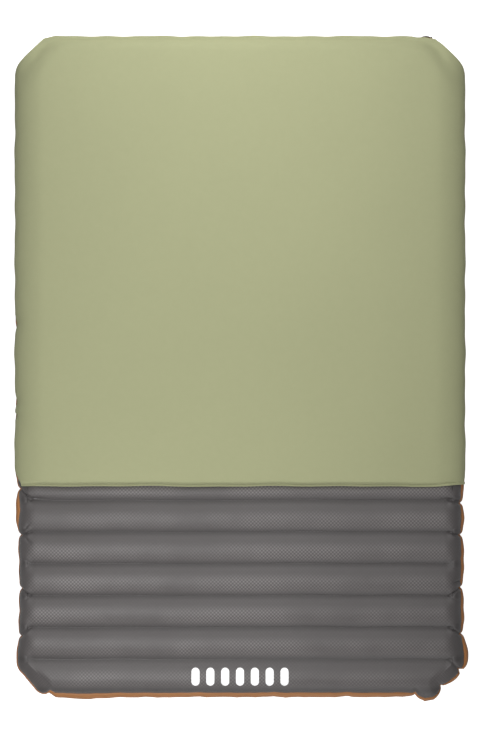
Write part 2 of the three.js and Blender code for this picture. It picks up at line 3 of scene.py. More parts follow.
import bpy
import numpy as np
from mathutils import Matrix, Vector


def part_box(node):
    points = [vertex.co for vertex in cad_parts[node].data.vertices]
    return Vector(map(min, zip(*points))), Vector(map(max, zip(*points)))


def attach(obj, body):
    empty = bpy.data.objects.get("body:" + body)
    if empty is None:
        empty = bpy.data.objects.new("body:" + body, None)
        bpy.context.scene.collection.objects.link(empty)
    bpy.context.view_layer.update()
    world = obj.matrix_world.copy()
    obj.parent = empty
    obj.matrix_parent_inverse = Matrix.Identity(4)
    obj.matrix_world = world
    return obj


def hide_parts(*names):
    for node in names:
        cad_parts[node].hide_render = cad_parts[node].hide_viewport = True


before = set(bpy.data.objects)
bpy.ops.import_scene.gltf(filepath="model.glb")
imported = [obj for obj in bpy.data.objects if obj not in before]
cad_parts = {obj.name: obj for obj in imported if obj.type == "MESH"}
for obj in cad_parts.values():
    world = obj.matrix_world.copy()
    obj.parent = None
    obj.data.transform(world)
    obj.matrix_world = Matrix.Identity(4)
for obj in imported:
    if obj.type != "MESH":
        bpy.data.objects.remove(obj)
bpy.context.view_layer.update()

# ---- Camera ----
# Straight above the pad with its head end up, from far enough that the side walls hardly show.

casing_low, casing_high = (np.array(corner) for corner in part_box("bottom_sheet"))
cover_high = np.array(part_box("pillow_cover")[1])
CAMERA_HEIGHT = 6.5
VIEW_LONG_SIDE = 2.096
CAMERA_SENSOR = 36.0
VIEW_LEVEL = 0.045
CENTRE_SHIFT = 0.0007

camera_data = bpy.data.cameras.new("camera")
camera_data.sensor_width = CAMERA_SENSOR
camera_data.lens = CAMERA_SENSOR * (CAMERA_HEIGHT - VIEW_LEVEL) / VIEW_LONG_SIDE
camera_data.clip_end = 50.0
camera = bpy.data.objects.new("camera", camera_data)
camera.location = (0.0, (casing_low[1] + cover_high[1]) / 2 - CENTRE_SHIFT, CAMERA_HEIGHT)
bpy.context.collection.objects.link(camera)
bpy.context.scene.camera = camera

# ---- Air casing ----
# Two sheets of laminated fabric, welded together along a line above the widest part of the side wall and
# held flat by nineteen ribs. Blown up tight, each chamber is a rounded bar and the wall is gathered at the
# weld. The bottom sheet is cut larger, so it shows outside the top one.

EDGE_ROLL = 0.036
CORNER_CUT = 0.09
ROUND = 0.058
TANGENT = ROUND * math.tan(math.pi / 8)
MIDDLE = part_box("top_sheet")[1].z / 2
HALF_X = casing_high[0]
HALF_Y = (casing_high[1] - casing_low[1]) / 2
CENTRE_Y = (casing_high[1] + casing_low[1]) / 2
RIB_NAMES = [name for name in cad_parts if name.startswith("rib_")]
RIB_WEB = 0.0005
RIB_LINES = np.array(sorted(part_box(name)[0].y + RIB_WEB for name in RIB_NAMES))
RIB_PITCH = float(np.diff(RIB_LINES).mean())
END_CHAMBER_HALF = 0.062
CHANNEL_DEPTH = 0.0140
CHANNEL_FULLNESS = 0.97
HEM_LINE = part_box("hem_binding")[0].y


def smooth(value, low, high):
    """0 below low, 1 above high, and the cubic 3t^2 - 2t^3 between."""
    t = np.clip((value - low) / (high - low), 0.0, 1.0)
    return t * t * (3 - 2 * t)


def groove(distance, width):
    """A rounded groove's depth, 1 at its middle: the bell curve of distance over width."""
    return np.exp(-((distance / width) ** 2))


def waves(value, seed, lengths):
    """A sum of sines of the given wave lengths with seeded phases, scaled to about -1 to 1."""
    phases = np.random.default_rng(seed).uniform(0, 2 * math.pi, len(lengths))
    total = sum(np.sin(2 * math.pi * value / length + phase) for length, phase in zip(lengths, phases))
    return total / math.sqrt(len(lengths))


def edge_at(y, inset):
    """Half width of the outline at rows y, moved in by inset, and the outward direction there. The outline
    is a rectangle whose corners are clipped at 45 degrees, with an arc at each end of the clip."""
    radius = ROUND - inset
    high = np.abs(y - CENTRE_Y)
    way = np.where(y >= CENTRE_Y, 1.0, -1.0)
    side_x, side_y = HALF_X - ROUND, HALF_Y - CORNER_CUT - TANGENT
    end_x, end_y = HALF_X - CORNER_CUT - TANGENT, HALF_Y - ROUND
    slant = radius * math.sqrt(0.5)
    first = np.arcsin(np.clip((high - side_y) / radius, 0.0, math.sqrt(0.5)))
    second = np.arcsin(np.clip((high - end_y) / radius, math.sqrt(0.5), 1.0))
    on_second = high >= end_y + slant
    on_slant = (high > side_y + slant) & ~on_second
    x = np.where(on_slant, side_x + slant - (high - side_y - slant), side_x + radius * np.cos(first))
    x = np.where(on_second, end_x + radius * np.cos(second), x)
    angle = np.where(on_second, second, np.where(on_slant, math.pi / 4, first))
    return x, np.cos(angle), way * np.sin(angle)


def corner_rows(inset, step):
    """Heights above the pad's middle of rows that carry a clipped corner: each arc in equal angles and the
    slanted stretch between them in equal steps."""
    radius = ROUND - inset
    angles = np.radians(np.linspace(0, 45, 7))
    side = HALF_Y - CORNER_CUT - TANGENT + radius * np.sin(angles)
    end = HALF_Y - ROUND + radius * np.sin(angles + math.pi / 4)
    count = max(2, int(round((end[0] - side[-1]) / step)))
    slant = np.linspace(side[-1], end[0], count + 1)[1:-1]
    return np.concatenate([side, slant, end])


def chamber_rows(bare_count, covered_count):
    """Rows over the whole casing: the corners, and between two ribs a half and half mix of equal steps and
    of cosine steps, so that rows crowd at each rib's groove."""
    corners = corner_rows(EDGE_ROLL, 0.004)
    rows = [CENTRE_Y - corners[::-1]]
    for low, high in zip(RIB_LINES[:-1], RIB_LINES[1:]):
        count = bare_count if low < HEM_LINE else covered_count
        even = np.linspace(0, 1, count + 1)
        rows.append(low + (high - low) * (even + 0.5 - 0.5 * np.cos(math.pi * even)) / 2)
    rows.append(np.linspace(RIB_LINES[-1], CENTRE_Y + corners[0], 6))
    rows.append(CENTRE_Y + corners)
    rows = np.sort(np.concatenate(rows))
    return rows[np.concatenate([[True], np.diff(rows) > 0.0008])]


def lay_out(rows, inset, band, inner_count, ring_count, open_foot):
    """Points and faces of a sheet: rows across the pad, with columns close together in a band along each
    side, and rings that leave the grid's edge along the outward direction. Returns arrays by name."""
    edge_x, out_x, out_y = edge_at(rows, inset)
    left = -edge_x[:, None] + band[None, :]
    inner = (edge_x[:, None] - band[-1]) * np.linspace(-1, 1, inner_count)[None, 1:-1]
    x = np.concatenate([left, inner, -left[:, ::-1]], axis=1)
    y = np.repeat(rows[:, None], x.shape[1], axis=1)
    grid = np.arange(x.size).reshape(x.shape)
    foot = [] if open_foot else grid[0, 1:-1]
    path = np.concatenate([grid[:, -1], grid[-1, -2:0:-1], grid[::-1, 0], foot]).astype(int)
    ends = np.zeros(x.shape[1] - 2)
    path_x = np.concatenate([out_x, ends, -out_x[::-1], [] if open_foot else ends])
    path_y = np.concatenate([out_y, ends + 1, out_y[::-1], [] if open_foot else ends - 1])
    rings = x.size + np.arange(ring_count * len(path)).reshape(ring_count, len(path))
    loops = np.concatenate([path[None, :], rings])
    after = np.roll(loops, -1, axis=1)
    used = len(path) - 1 if open_foot else len(path)
    flat = np.stack([grid[:-1, :-1], grid[:-1, 1:], grid[1:, 1:], grid[1:, :-1]], -1)
    wall = np.stack([loops[:-1], loops[1:], after[1:], after[:-1]], -1)[:, :used]
    normal_x, normal_y, ring, along = (np.full(x.size, start) for start in (0.0, 0.0, -1, -1))
    normal_x[path], normal_y[path], ring[path], along[path] = path_x, path_y, 0, np.arange(len(path))
    extra = ring_count * len(path)
    return {
        "x": np.concatenate([x.ravel(), np.tile(x.ravel()[path], ring_count)]),
        "y": np.concatenate([y.ravel(), np.tile(y.ravel()[path], ring_count)]),
        "nx": np.concatenate([normal_x, np.tile(path_x, ring_count)]),
        "ny": np.concatenate([normal_y, np.tile(path_y, ring_count)]),
        "ring": np.concatenate([ring, np.repeat(np.arange(1, ring_count + 1), len(path))]),
        "along": np.concatenate([along, np.tile(np.arange(len(path)), ring_count)]),
        "from_side": np.concatenate([(edge_x[:, None] - np.abs(x)).ravel(), np.zeros(extra)]),
        "faces": np.concatenate([flat.reshape(-1, 4), wall.reshape(-1, 4)]),
        "path": path,
        "loops": loops,
    }


def mesh_piece(name, points, faces, uv=None, flip=False, wall=0.0):
    """A smooth object at the origin from arrays of points and faces, with a UV for each point if given and
    a wall thickness put inside the surface if not zero."""
    rounds = faces if isinstance(faces, list) else faces.tolist()
    mesh = bpy.data.meshes.new(name)
    mesh.from_pydata(points.tolist(), [], [way[::-1] for way in rounds] if flip else rounds)
    mesh.polygons.foreach_set("use_smooth", np.ones(len(mesh.polygons), bool))
    if uv is not None:
        corners = np.zeros(len(mesh.loops), np.int32)
        mesh.loops.foreach_get("vertex_index", corners)
        mesh.uv_layers.new(name="cloth").data.foreach_set("uv", uv[corners].astype(np.float32).ravel())
    mesh.update()
    made = bpy.data.objects.new(name, mesh)
    bpy.context.collection.objects.link(made)
    if wall:
        solid = made.modifiers.new("wall", "SOLIDIFY")
        solid.thickness, solid.offset, solid.use_even_offset = wall, -1.0, False
    return made


# Pinches gather the weld, as heights along each side and places along the ends. Bulges are where a corner
# of the casing swells past the outline.
LEFT_PINCHES = [-0.766, -0.629, -0.479, -0.347, -0.205, -0.062, 0.083, 0.222, 0.368, 0.505, 0.651, 0.786]
RIGHT_PINCHES = [-0.872, -0.759, -0.628, -0.479, -0.387, -0.243, -0.098, 0.041, 0.188, 0.327, 0.474]
RIGHT_PINCHES += [0.612, 0.742]
FOOT_PINCHES = [-0.332, -0.118, 0.102, 0.308]
HEAD_PINCHES = [-0.470, -0.290, -0.105, 0.085, 0.268, 0.420]
SLANT_PINCHES = [(-0.540, -0.930), (0.581, -0.914), (-0.575, 0.900), (0.497, -0.942)]
BULGES = [
    (HALF_X, -0.826, 0.013, 0.050), (0.612, -0.885, 0.008, 0.032), (0.538, -0.940, 0.013, 0.036),
    (-0.597, -0.897, 0.005, 0.036), (-0.570, -0.920, 0.007, 0.026), (-0.450, -0.940, 0.005, 0.110),
    (-HALF_X, -0.555, -0.009, 0.070), (-HALF_X, -0.697, -0.009, 0.070),
]
FOLDS = [
    ((-0.626, -0.354), (-0.590, -0.373), 0.0080), ((-0.604, -0.372), (-0.556, -0.373), 0.0050),
    ((0.574, -0.371), (0.638, -0.380), 0.0070), ((-0.616, -0.462), (-0.596, -0.444), 0.0040),
    ((-0.617, -0.481), (-0.594, -0.499), 0.0050), ((0.606, -0.612), (0.634, -0.607), 0.0060),
]
FOLD_WIDTH = 0.0036
PINCH_DEPTH = 0.0105
END_PINCH_DEPTH = 0.0018


def pinch_places(at_x, at_y, along):
    """Places along the outline of the pinches, sorted, with the depth of each."""
    spots = [(-HALF_X, y, PINCH_DEPTH) for y in LEFT_PINCHES]
    spots += [(HALF_X, y, PINCH_DEPTH) for y in RIGHT_PINCHES]
    spots += [(x, CENTRE_Y - HALF_Y, END_PINCH_DEPTH) for x in FOOT_PINCHES]
    spots += [(x, CENTRE_Y + HALF_Y, END_PINCH_DEPTH) for x in HEAD_PINCHES]
    spots += [(x, y, PINCH_DEPTH) for x, y in SLANT_PINCHES]
    places = [(along[np.argmin(np.hypot(at_x - x, at_y - y))], depth) for x, y, depth in spots]
    return np.array(sorted(places))


def scallops(along, places, whole):
    """Between two pinches the outline is a round lobe: the drop from it is depth times one less the arch
    (1 - |2t - 1|^2.4)^0.6. Returns the drop, the distance to the nearest pinch and that pinch's depth."""
    spots = np.concatenate([[places[-1, 0] - whole], places[:, 0], [places[0, 0] + whole]])
    depths = np.concatenate([[places[-1, 1]], places[:, 1], [places[0, 1]]])
    after = np.clip(np.searchsorted(spots, along), 1, len(spots) - 1)
    share = (along - spots[after - 1]) / (spots[after] - spots[after - 1])
    depth = depths[after - 1] + (depths[after] - depths[after - 1]) * smooth(share, 0.2, 0.8)
    lobe = np.clip(1 - np.abs(2 * share - 1) ** 2.4, 0, 1) ** 0.6
    return depth * (1 - lobe), np.minimum(along - spots[after - 1], spots[after] - along), depth


def crease(points, start, end, width):
    """How deep a point lies in a crease from start to end seen from above, 1 on its line: the bell curve
    of the distance to the line, let out at both ends."""
    way = np.subtract(end, start)
    share = np.clip(((points[:, :2] - start) @ way) / (way @ way), 0, 1)
    apart = np.linalg.norm(points[:, :2] - start - share[:, None] * way, axis=1)
    return groove(apart, width) * (1 - 0.6 * np.abs(2 * share - 1))


WAVER = 0.0012
SEAM_GROOVE = 0.0018
CREASE_WIDTH = 0.0034
LEFT_CREASE, RIGHT_CREASE = 0.0072, 0.0060
CREASE_BAND, NOTCH_INSET = 0.085, 0.006
FOLD_WIDTH_AT_PINCH, FOLD_FADE = 0.0055, 0.030
HEM_PRESS = 0.0090
HEM_PRESS_WIDTH = 0.015
FOLD_DEPTH = 0.0050
FAT_LOBE_AT = -0.400

# The valve sits in the head wall. Its frame: the middle of the flange, the way out, and the way up.
VALVE_TILT = math.radians(13)
VALVE_OUT = np.array([0.0, math.cos(VALVE_TILT), -math.sin(VALVE_TILT)])
GASKET_LEVEL = 0.0021
VALVE_AT = np.mean([tuple(corner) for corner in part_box("collar_gasket")], axis=0) - GASKET_LEVEL * VALVE_OUT
FLANGE_SEAT = -0.0007
SEAT_FLAT, SEAT_EASE, SEAT_DEPTH = 0.024, 0.040, 0.03
BARREL_HOLE = 0.0178


def seat_flange(points):
    """Flattens the wall to the flange's plane where the flange lies on it, and eases back to the round
    wall outside. Returns the points and their distance from the valve's axis."""
    away = points - VALVE_AT
    depth = away @ VALVE_OUT
    around = np.linalg.norm(away - depth[:, None] * VALVE_OUT, axis=1)
    far = np.abs(depth) >= SEAT_DEPTH
    near = (1 - smooth(around, SEAT_FLAT, SEAT_EASE)) * ~far
    return points + (near * (FLANGE_SEAT - depth))[:, None] * VALVE_OUT, around + far


SIDE_SETBACK, FOOT_SETBACK, LOBE_SETBACK, RIGHT_SETBACK = 0.0045, 0.0155, 0.0085, 0.0050
SEAM_LEVEL, FOOT_SEAM_LEVEL, WIDEST_LEVEL = 0.050, 0.054, 0.035
SHOULDER_WIDTH, SHOULDER_DROP = 0.026, 0.0055
WIDEST_SHARE = 0.72
VALVE_SEAM_RISE, VALVE_RISE_WIDTH = 0.014, 0.045
TOP_RUN, BOTTOM_RUN = 0.062, 0.085
SEAM_EASE = 0.010


def wall_section(side, share, setback, seam_level):
    """How far out and how high the wall is at a share of the way from the crest line to the weld. The top
    sheet bows down to the weld on a cubic curve that leaves at the shoulder's slope and ends steep. The
    bottom sheet goes round a quarter ellipse to its widest line, and on a second one back to the weld."""
    reach = EDGE_ROLL - setback
    start, slope = 2 * MIDDLE - SHOULDER_DROP, 2 * SHOULDER_DROP / SHOULDER_WIDTH
    left, t = 1 - share, share
    outs = (0 * reach, 0.42 * reach, 0.86 * reach, reach)
    highs = (start + 0 * reach, start - slope * outs[1], (start + seam_level) / 2, seam_level)
    weights = (left**3, 3 * left**2 * t, 3 * left * t**2, t**3)
    if side > 0:
        return sum(w * o for w, o in zip(weights, outs)), sum(w * h for w, h in zip(weights, highs))
    lower = np.clip(share / WIDEST_SHARE, 0, 1) * math.pi / 2
    upper = np.clip((share - WIDEST_SHARE) / (1 - WIDEST_SHARE), 0, 1) * math.pi / 2
    out = EDGE_ROLL * np.sin(lower) - setback * (1 - np.cos(upper))
    return out, WIDEST_LEVEL * (1 - np.cos(lower)) + (seam_level - WIDEST_LEVEL) * np.sin(upper)


def casing_sheet(name, side, rows, inner_count, ring_count, wall):
    """One sheet of the casing: side is 1 for the top and -1 for the bottom. Chambers rise between ribs as
    (1 - (1 - t)^2) to a power of the share t of half a pitch, and all relief moves a point along the
    smooth wall's normal."""
    layout = lay_out(rows, EDGE_ROLL, np.arange(16) * 0.003, inner_count, ring_count, False)
    x, y, nx, ny, ring, step = (layout[key] for key in ("x", "y", "nx", "ny", "ring", "along"))
    path = layout["path"]
    at_x, at_y = x[path] + nx[path] * EDGE_ROLL, y[path] + ny[path] * EDGE_ROLL
    steps = np.hypot(np.diff(at_x, append=at_x[0]), np.diff(at_y, append=at_y[0]))
    along, whole = np.concatenate([[0], np.cumsum(steps)[:-1]]), steps.sum()
    drop, gap, depth = scallops(along, pinch_places(at_x, at_y, along), whole)
    lobe = 1 - drop / np.maximum(depth, 1e-6)
    foot = smooth(-ny[path], 0.35, 1.0)
    fat_lobe = groove(at_y - FAT_LOBE_AT, 0.045) * (at_x < 0)
    at_foot = smooth(-ny[path], 0.75, 1.0) * (1 - 0.7 * smooth(at_x, 0.47, 0.51))
    setback = SIDE_SETBACK + (FOOT_SETBACK - SIDE_SETBACK) * at_foot + LOBE_SETBACK * fat_lobe
    setback += RIGHT_SETBACK * smooth(nx[path], 0.5, 1.0)
    setback *= 0.35 + 0.65 * np.maximum(lobe, foot)
    seam_level = SEAM_LEVEL + (FOOT_SEAM_LEVEL - SEAM_LEVEL) * foot
    over_valve = groove(at_x - VALVE_AT[0], VALVE_RISE_WIDTH) * smooth(ny[path], 0.5, 0.9)
    seam_level += VALVE_SEAM_RISE * over_valve
    spot = np.maximum(step, 0)
    drop, gap, depth, setback, seam_level, along = (
        value[spot] for value in (drop, gap, depth, setback, seam_level, along)
    )
    on_wall = ring >= 0
    share = np.maximum(ring, 0) / ring_count
    out, high = wall_section(side, share, setback, seam_level)
    ahead = wall_section(side, share + 0.01, setback, seam_level)
    behind = wall_section(side, share - 0.01, setback, seam_level)
    way_out, way_up = ahead[0] - behind[0], ahead[1] - behind[1]
    size = np.hypot(way_out, way_up)
    tilt_out, tilt_up = -side * way_up / size, side * way_out / size
    run = TOP_RUN if side > 0 else BOTTOM_RUN
    from_seam = (1 - share) * run
    at_seam = groove(from_seam, SEAM_EASE)
    tilt_out, tilt_up = tilt_out + (1 - tilt_out) * at_seam, tilt_up * (1 - at_seam)
    tilt_out, tilt_up = np.where(ring > 0, tilt_out, 0), np.where(ring > 0, tilt_up, side)
    from_side = layout["from_side"]
    shoulder = np.clip(1 - np.minimum(from_side, x * 0 + 1) / SHOULDER_WIDTH, 0, 1)
    from_end = HALF_Y - EDGE_ROLL - np.abs(y - CENTRE_Y)
    end_shoulder = np.clip(1 - from_end / SHOULDER_WIDTH, 0, 1)
    flat_top = 2 * MIDDLE - SHOULDER_DROP * np.maximum(shoulder, end_shoulder) ** 2
    level = np.where(on_wall & (ring > 0), high, flat_top if side > 0 else 0)
    wander = WAVER * waves(x, 3 + side, [0.43, 0.27, 0.91]) * (1 - share)
    out = np.where(ring > 0, out, 0)
    points = np.stack([x + nx * out, y + ny * out + wander, level], 1)
    normal = np.stack([nx * tilt_out, ny * tilt_out, tilt_up], 1)

    at_side = (np.abs(nx) > 0.9) | (ring < 0)
    inward = np.where(ring > 0, -out, from_side)
    nearest = np.abs(y[:, None] - RIB_LINES[None, :]).min(1)
    outer = (y < RIB_LINES[0]) | (y > RIB_LINES[-1])
    half = np.where(outer, END_CHAMBER_HALF, RIB_PITCH / 2)
    valley = 1 - (1 - (1 - np.clip(nearest / half, 0, 1)) ** 2) ** CHANNEL_FULLNESS
    lift = -CHANNEL_DEPTH * valley * smooth(inward, -0.012, 0.020) * at_side
    press = HEM_PRESS * groove(y - HEM_LINE - 0.004, HEM_PRESS_WIDTH)
    lift -= press * (side > 0) * np.where(on_wall, 1 - share, 1)
    belly = np.clip(out / EDGE_ROLL, 0, 1) ** 1.3
    fold = groove(gap, FOLD_WIDTH_AT_PINCH) * np.exp(-from_seam / FOLD_FADE)
    relief = -FOLD_DEPTH * depth / PINCH_DEPTH * fold
    relief += 0.0007 * waves(along, 11, [0.0171, 0.0236, 0.0317]) * np.exp(-from_seam / 0.008)
    relief += 0.0009 * waves(along, 12, [0.071, 0.113, 0.047]) * belly
    relief -= SEAM_GROOVE * groove(from_seam, 0.0026)
    lift += np.where(on_wall, relief, 0)

    chance = np.random.default_rng(21)
    for way, pinches, strength in ((-1, LEFT_PINCHES, LEFT_CREASE), (1, RIGHT_PINCHES, RIGHT_CREASE)):
        on_side = points[:, 0] * way > HALF_X - CREASE_BAND
        notch = np.array([way * (HALF_X - NOTCH_INSET), 0.0])
        for line in RIB_LINES:
            rib_end = np.array([way * (HALF_X - EDGE_ROLL - 0.010), line])
            for spread in (-1, 1):
                tip = rib_end + [way * 0.026, spread * chance.uniform(0.008, 0.020)]
                slight = chance.uniform(0.0010, 0.0024)
                lift -= slight * crease(points, rib_end, tip, CREASE_WIDTH) * on_side
            for pinch in pinches:
                if abs(pinch - line) < RIB_PITCH * 0.62:
                    notch[1] = pinch
                    lift -= strength * crease(points, rib_end, notch, CREASE_WIDTH) * on_side
    for start, end, deep in FOLDS:
        lift -= deep * crease(points, start, end, FOLD_WIDTH) * (points[:, 2] > SEAM_LEVEL - 0.01)
    bulge = -drop * belly
    for bulge_x, bulge_y, amount, spread in BULGES:
        bulge += amount * groove(np.hypot(points[:, 0] - bulge_x, points[:, 1] - bulge_y), spread) * belly
    points += normal * lift[:, None]
    points += np.stack([nx * bulge, ny * bulge, 0 * bulge], 1) * on_wall[:, None]
    faces = layout["faces"]
    points, around = seat_flange(points)
    faces = faces[around[faces].mean(1) > BARREL_HOLE]
    points[:, 2] = np.maximum(points[:, 2], 0.0)
    uv = np.stack([x + nx * run * share, y + ny * run * share], 1)
    return mesh_piece(name, points, faces, uv, flip=side < 0, wall=wall)


FABRIC_THICKNESS = 0.0005
casing_top = casing_sheet("casing_top", 1, chamber_rows(32, 10), 56, 20, FABRIC_THICKNESS)
casing_bottom = casing_sheet("casing_bottom", -1, chamber_rows(32, 10), 56, 18, FABRIC_THICKNESS)
for piece, node, finish in (
    (casing_top, "top_sheet", "top_fabric"),
    (casing_bottom, "bottom_sheet", "bottom_fabric"),
):
    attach(piece, "pad")
    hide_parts(node)

# ---- Fabric finishes ----
# The top fabric is a grey ripstop with a small lattice, laminated and a little glossy. The bottom fabric is
# a plain coated weave. Both read their own UV map, which is in metres of cloth.


def put(tree, kind, *feeds, **settings):
    """Adds a node, sets its properties, and feeds its inputs in order with sockets or values, or leaves an
    input as it is for None."""
    made = tree.nodes.new(kind)
    for key, value in settings.items():
        setattr(made, key, value)
    for socket, feed in zip(made.inputs, feeds):
        if isinstance(feed, bpy.types.NodeSocket):
            tree.links.new(feed, socket)
        elif feed is not None:
            socket.default_value = feed
    return made


def maths(tree, operation, *feeds):
    """One Math node's result."""
    return put(tree, "ShaderNodeMath", *feeds, operation=operation).outputs[0]


def ramp(tree, value, low, high, start, end, kind="SMOOTHSTEP"):
    """A value mapped from low and high to start and end, and held outside them."""
    return put(tree, "ShaderNodeMapRange", value, low, high, start, end, interpolation_type=kind).outputs[0]


def apart(tree, vector):
    """A vector's three parts."""
    return put(tree, "ShaderNodeSeparateXYZ", vector).outputs


def rows_of(tree, value, pitch):
    """The distance to the nearest of a row of lines one pitch apart, one of them at 0."""
    return maths(tree, "ABSOLUTE", maths(tree, "WRAP", value, pitch / 2, -pitch / 2))


def blend_colours(tree, share, first, second):
    """The first colour at share 0 and the second at 1."""
    made = tree.nodes.new("ShaderNodeMix")
    made.data_type = "RGBA"
    for index, feed in ((0, share), (6, first), (7, second)):
        if isinstance(feed, bpy.types.NodeSocket):
            tree.links.new(feed, made.inputs[index])
        else:
            made.inputs[index].default_value = feed
    return made.outputs[2]


def node_group(name, inputs, outputs):
    """An empty group with named inputs (kind, start value) and outputs (kind), and its two end nodes."""
    group = bpy.data.node_groups.new(name, "ShaderNodeTree")
    for label, (kind, start) in inputs.items():
        socket = group.interface.new_socket(name=label, in_out="INPUT", socket_type="NodeSocket" + kind)
        if start is not None:
            socket.default_value = start
    for label, kind in outputs.items():
        group.interface.new_socket(name=label, in_out="OUTPUT", socket_type="NodeSocket" + kind)
    return group, group.nodes.new("NodeGroupInput").outputs, group.nodes.new("NodeGroupOutput").inputs


def use_group(tree, group, **feeds):
    """Places a group and feeds its inputs by name, with underscores for spaces. Returns its outputs."""
    made = tree.nodes.new("ShaderNodeGroup")
    made.node_tree = group
    for label, feed in feeds.items():
        socket = made.inputs[label.replace("_", " ")]
        if isinstance(feed, bpy.types.NodeSocket):
            tree.links.new(feed, socket)
        else:
            socket.default_value = feed
    return made.outputs


# Lattice: 0.5 + 0.5 cos(2 pi u / p) cos(2 pi v / p), cells in rows that are half a cell apart.
lattice, given, result = node_group(
    "lattice_weave", {"Cloth": ("Vector", None), "Pitch": ("Float", 0.01)}, {"Height": "Float"}
)
turns = put(lattice, "ShaderNodeVectorMath", given["Cloth"], operation="SCALE")
lattice.links.new(maths(lattice, "DIVIDE", 2 * math.pi, given["Pitch"]), turns.inputs["Scale"])
parts = apart(lattice, turns.outputs[0])
cells = maths(lattice, "MULTIPLY", maths(lattice, "COSINE", parts[0]), maths(lattice, "COSINE", parts[1]))
lattice.links.new(maths(lattice, "MULTIPLY_ADD", cells, 0.5, 0.5), result["Height"])

# Tone: the colour made lighter or darker by noise of one size, as dyed cloth and handled plastic are.
drift, given, result = node_group(
    "uneven_tone",
    {
        "Place": ("Vector", None), "Colour": ("Color", None),
        "Scale": ("Float", 5.0), "Amount": ("Float", 0.1),
    },
    {"Colour": "Color", "Mask": "Float"},
)
noise = put(drift, "ShaderNodeTexNoise", given["Place"], None, given["Scale"], 4.0).outputs[0]
swing = maths(drift, "MULTIPLY", maths(drift, "SUBTRACT", noise, 0.5), given["Amount"])
bright = maths(drift, "ADD", swing, 1.0)
toned = put(drift, "ShaderNodeHueSaturation", 0.5, 1.0, bright, 1.0, given["Colour"])
drift.links.new(toned.outputs[0], result["Colour"])
drift.links.new(noise, result["Mask"])


def uneven(tree, place, colour, scale, amount):
    """A colour through the tone group above."""
    return use_group(tree, drift, Place=place, Colour=colour, Scale=scale, Amount=amount)["Colour"]


def finish_material(name, roughness, **constants):
    """A material's tree, its Principled shader with constants on its sockets, and its UV and Object
    coordinates."""
    material = bpy.data.materials.new(name)
    material.use_nodes = True
    tree = material.node_tree
    shader = tree.nodes["Principled BSDF"]
    shader.inputs["Roughness"].default_value = roughness
    for label, value in constants.items():
        shader.inputs[label.replace("_", " ")].default_value = value
    places = tree.nodes.new("ShaderNodeTexCoord").outputs
    return material, tree, shader, places["UV"], places["Object"]


def raise_relief(tree, shader, height, distance, strength=1.0):
    """Feeds a height through a Bump node into the shader's normal."""
    bump = put(tree, "ShaderNodeBump")
    bump.inputs["Strength"].default_value = strength
    bump.inputs["Distance"].default_value = distance
    tree.links.new(height, bump.inputs["Height"])
    tree.links.new(bump.outputs[0], shader.inputs["Normal"])


GREY = (0.107, 0.098, 0.097, 1)
# The lattice cells' lighter grey is partly a painted glint.
GREY_CELL_AND_GLINT = (0.212, 0.195, 0.193, 1)
INK = (1.0, 1.0, 1.0, 1)
# The print's glow is painted light: the ink is no lamp.
INK_PAINTED_GLOW = 0.22
# The weld band is partly the weld's own darker tone and partly painted shade of the channels.
WELD_SHADE_HALF_WIDTH = 0.016
WELD_SHADE_DARK = 0.26
LATTICE_PITCH = 0.0103
THREAD_PITCH = 0.0022
BAR_PITCH, BAR_HALF_WIDTH, BAR_HALF_HEIGHT, BAR_COUNT = 0.042, 0.0115, 0.0255, 7
PRINT_LINE = (RIB_LINES[0] + casing_low[1]) / 2 + 0.008

top_fabric, tree, shader, cloth, place = finish_material(
    "laminated_ripstop", 0.50, Sheen_Weight=0.12, Sheen_Roughness=0.5, Coat_Weight=0.06, Coat_Roughness=0.35,
    Emission_Strength=INK_PAINTED_GLOW,
)
dots = use_group(tree, lattice, Cloth=cloth, Pitch=LATTICE_PITCH)["Height"]
threads = use_group(tree, lattice, Cloth=cloth, Pitch=THREAD_PITCH)["Height"]
# The lattice cells are a real pattern, but their lighter colour is partly a painted glint: it shows on the
# level top and fades on the walls, in patches, and most where the light catches each chamber.
spots = ramp(tree, dots, 0.30, 0.78, 0.0, 1.0)
across = maths(tree, "ABSOLUTE", apart(tree, cloth)[0])
level_part = ramp(tree, across, 0.575, 0.612, 1.0, 0.12)
patches = put(tree, "ShaderNodeTexNoise", place, None, 5.0, 2.0).outputs[0]
glint_shown = ramp(tree, patches, 0.38, 0.62, 0.22, 1.0, "LINEAR")

# Painted highlight: the lattice's lighter cells show on the foot side of each chamber's crest, where the
# light from the foot end catches them, counted from the weld at its foot side.
over, up_pad, height = apart(tree, place)
from_first = maths(tree, "SUBTRACT", up_pad, float(RIB_LINES[0]))
from_foot_weld = maths(tree, "WRAP", from_first, RIB_PITCH, 0.0)
glint_rising = ramp(tree, from_foot_weld, 0.004, 0.022, 0.3, 1.0)
glint_falling = ramp(tree, from_foot_weld, 0.040, 0.066, 1.0, 0.12)
glint_shown = maths(tree, "MULTIPLY", glint_shown, maths(tree, "MULTIPLY", glint_rising, glint_falling))
cell_and_glint_share = maths(tree, "MULTIPLY", maths(tree, "MULTIPLY", spots, level_part), glint_shown)
grey = blend_colours(tree, cell_and_glint_share, GREY, GREY_CELL_AND_GLINT)
grey = uneven(tree, place, grey, 3.0, 0.16)

# The cloth is darker in a band along each rib's weld, fading out on both sides: partly the pressed weld's own
# darker tone and partly painted shade of the channel between two chambers.
weld_and_shade = ramp(tree, rows_of(tree, from_first, RIB_PITCH), 0.0, WELD_SHADE_HALF_WIDTH, 1.0, 0.0)
grey = blend_colours(tree, maths(tree, "MULTIPLY", weld_and_shade, WELD_SHADE_DARK), grey, (0, 0, 0, 1))

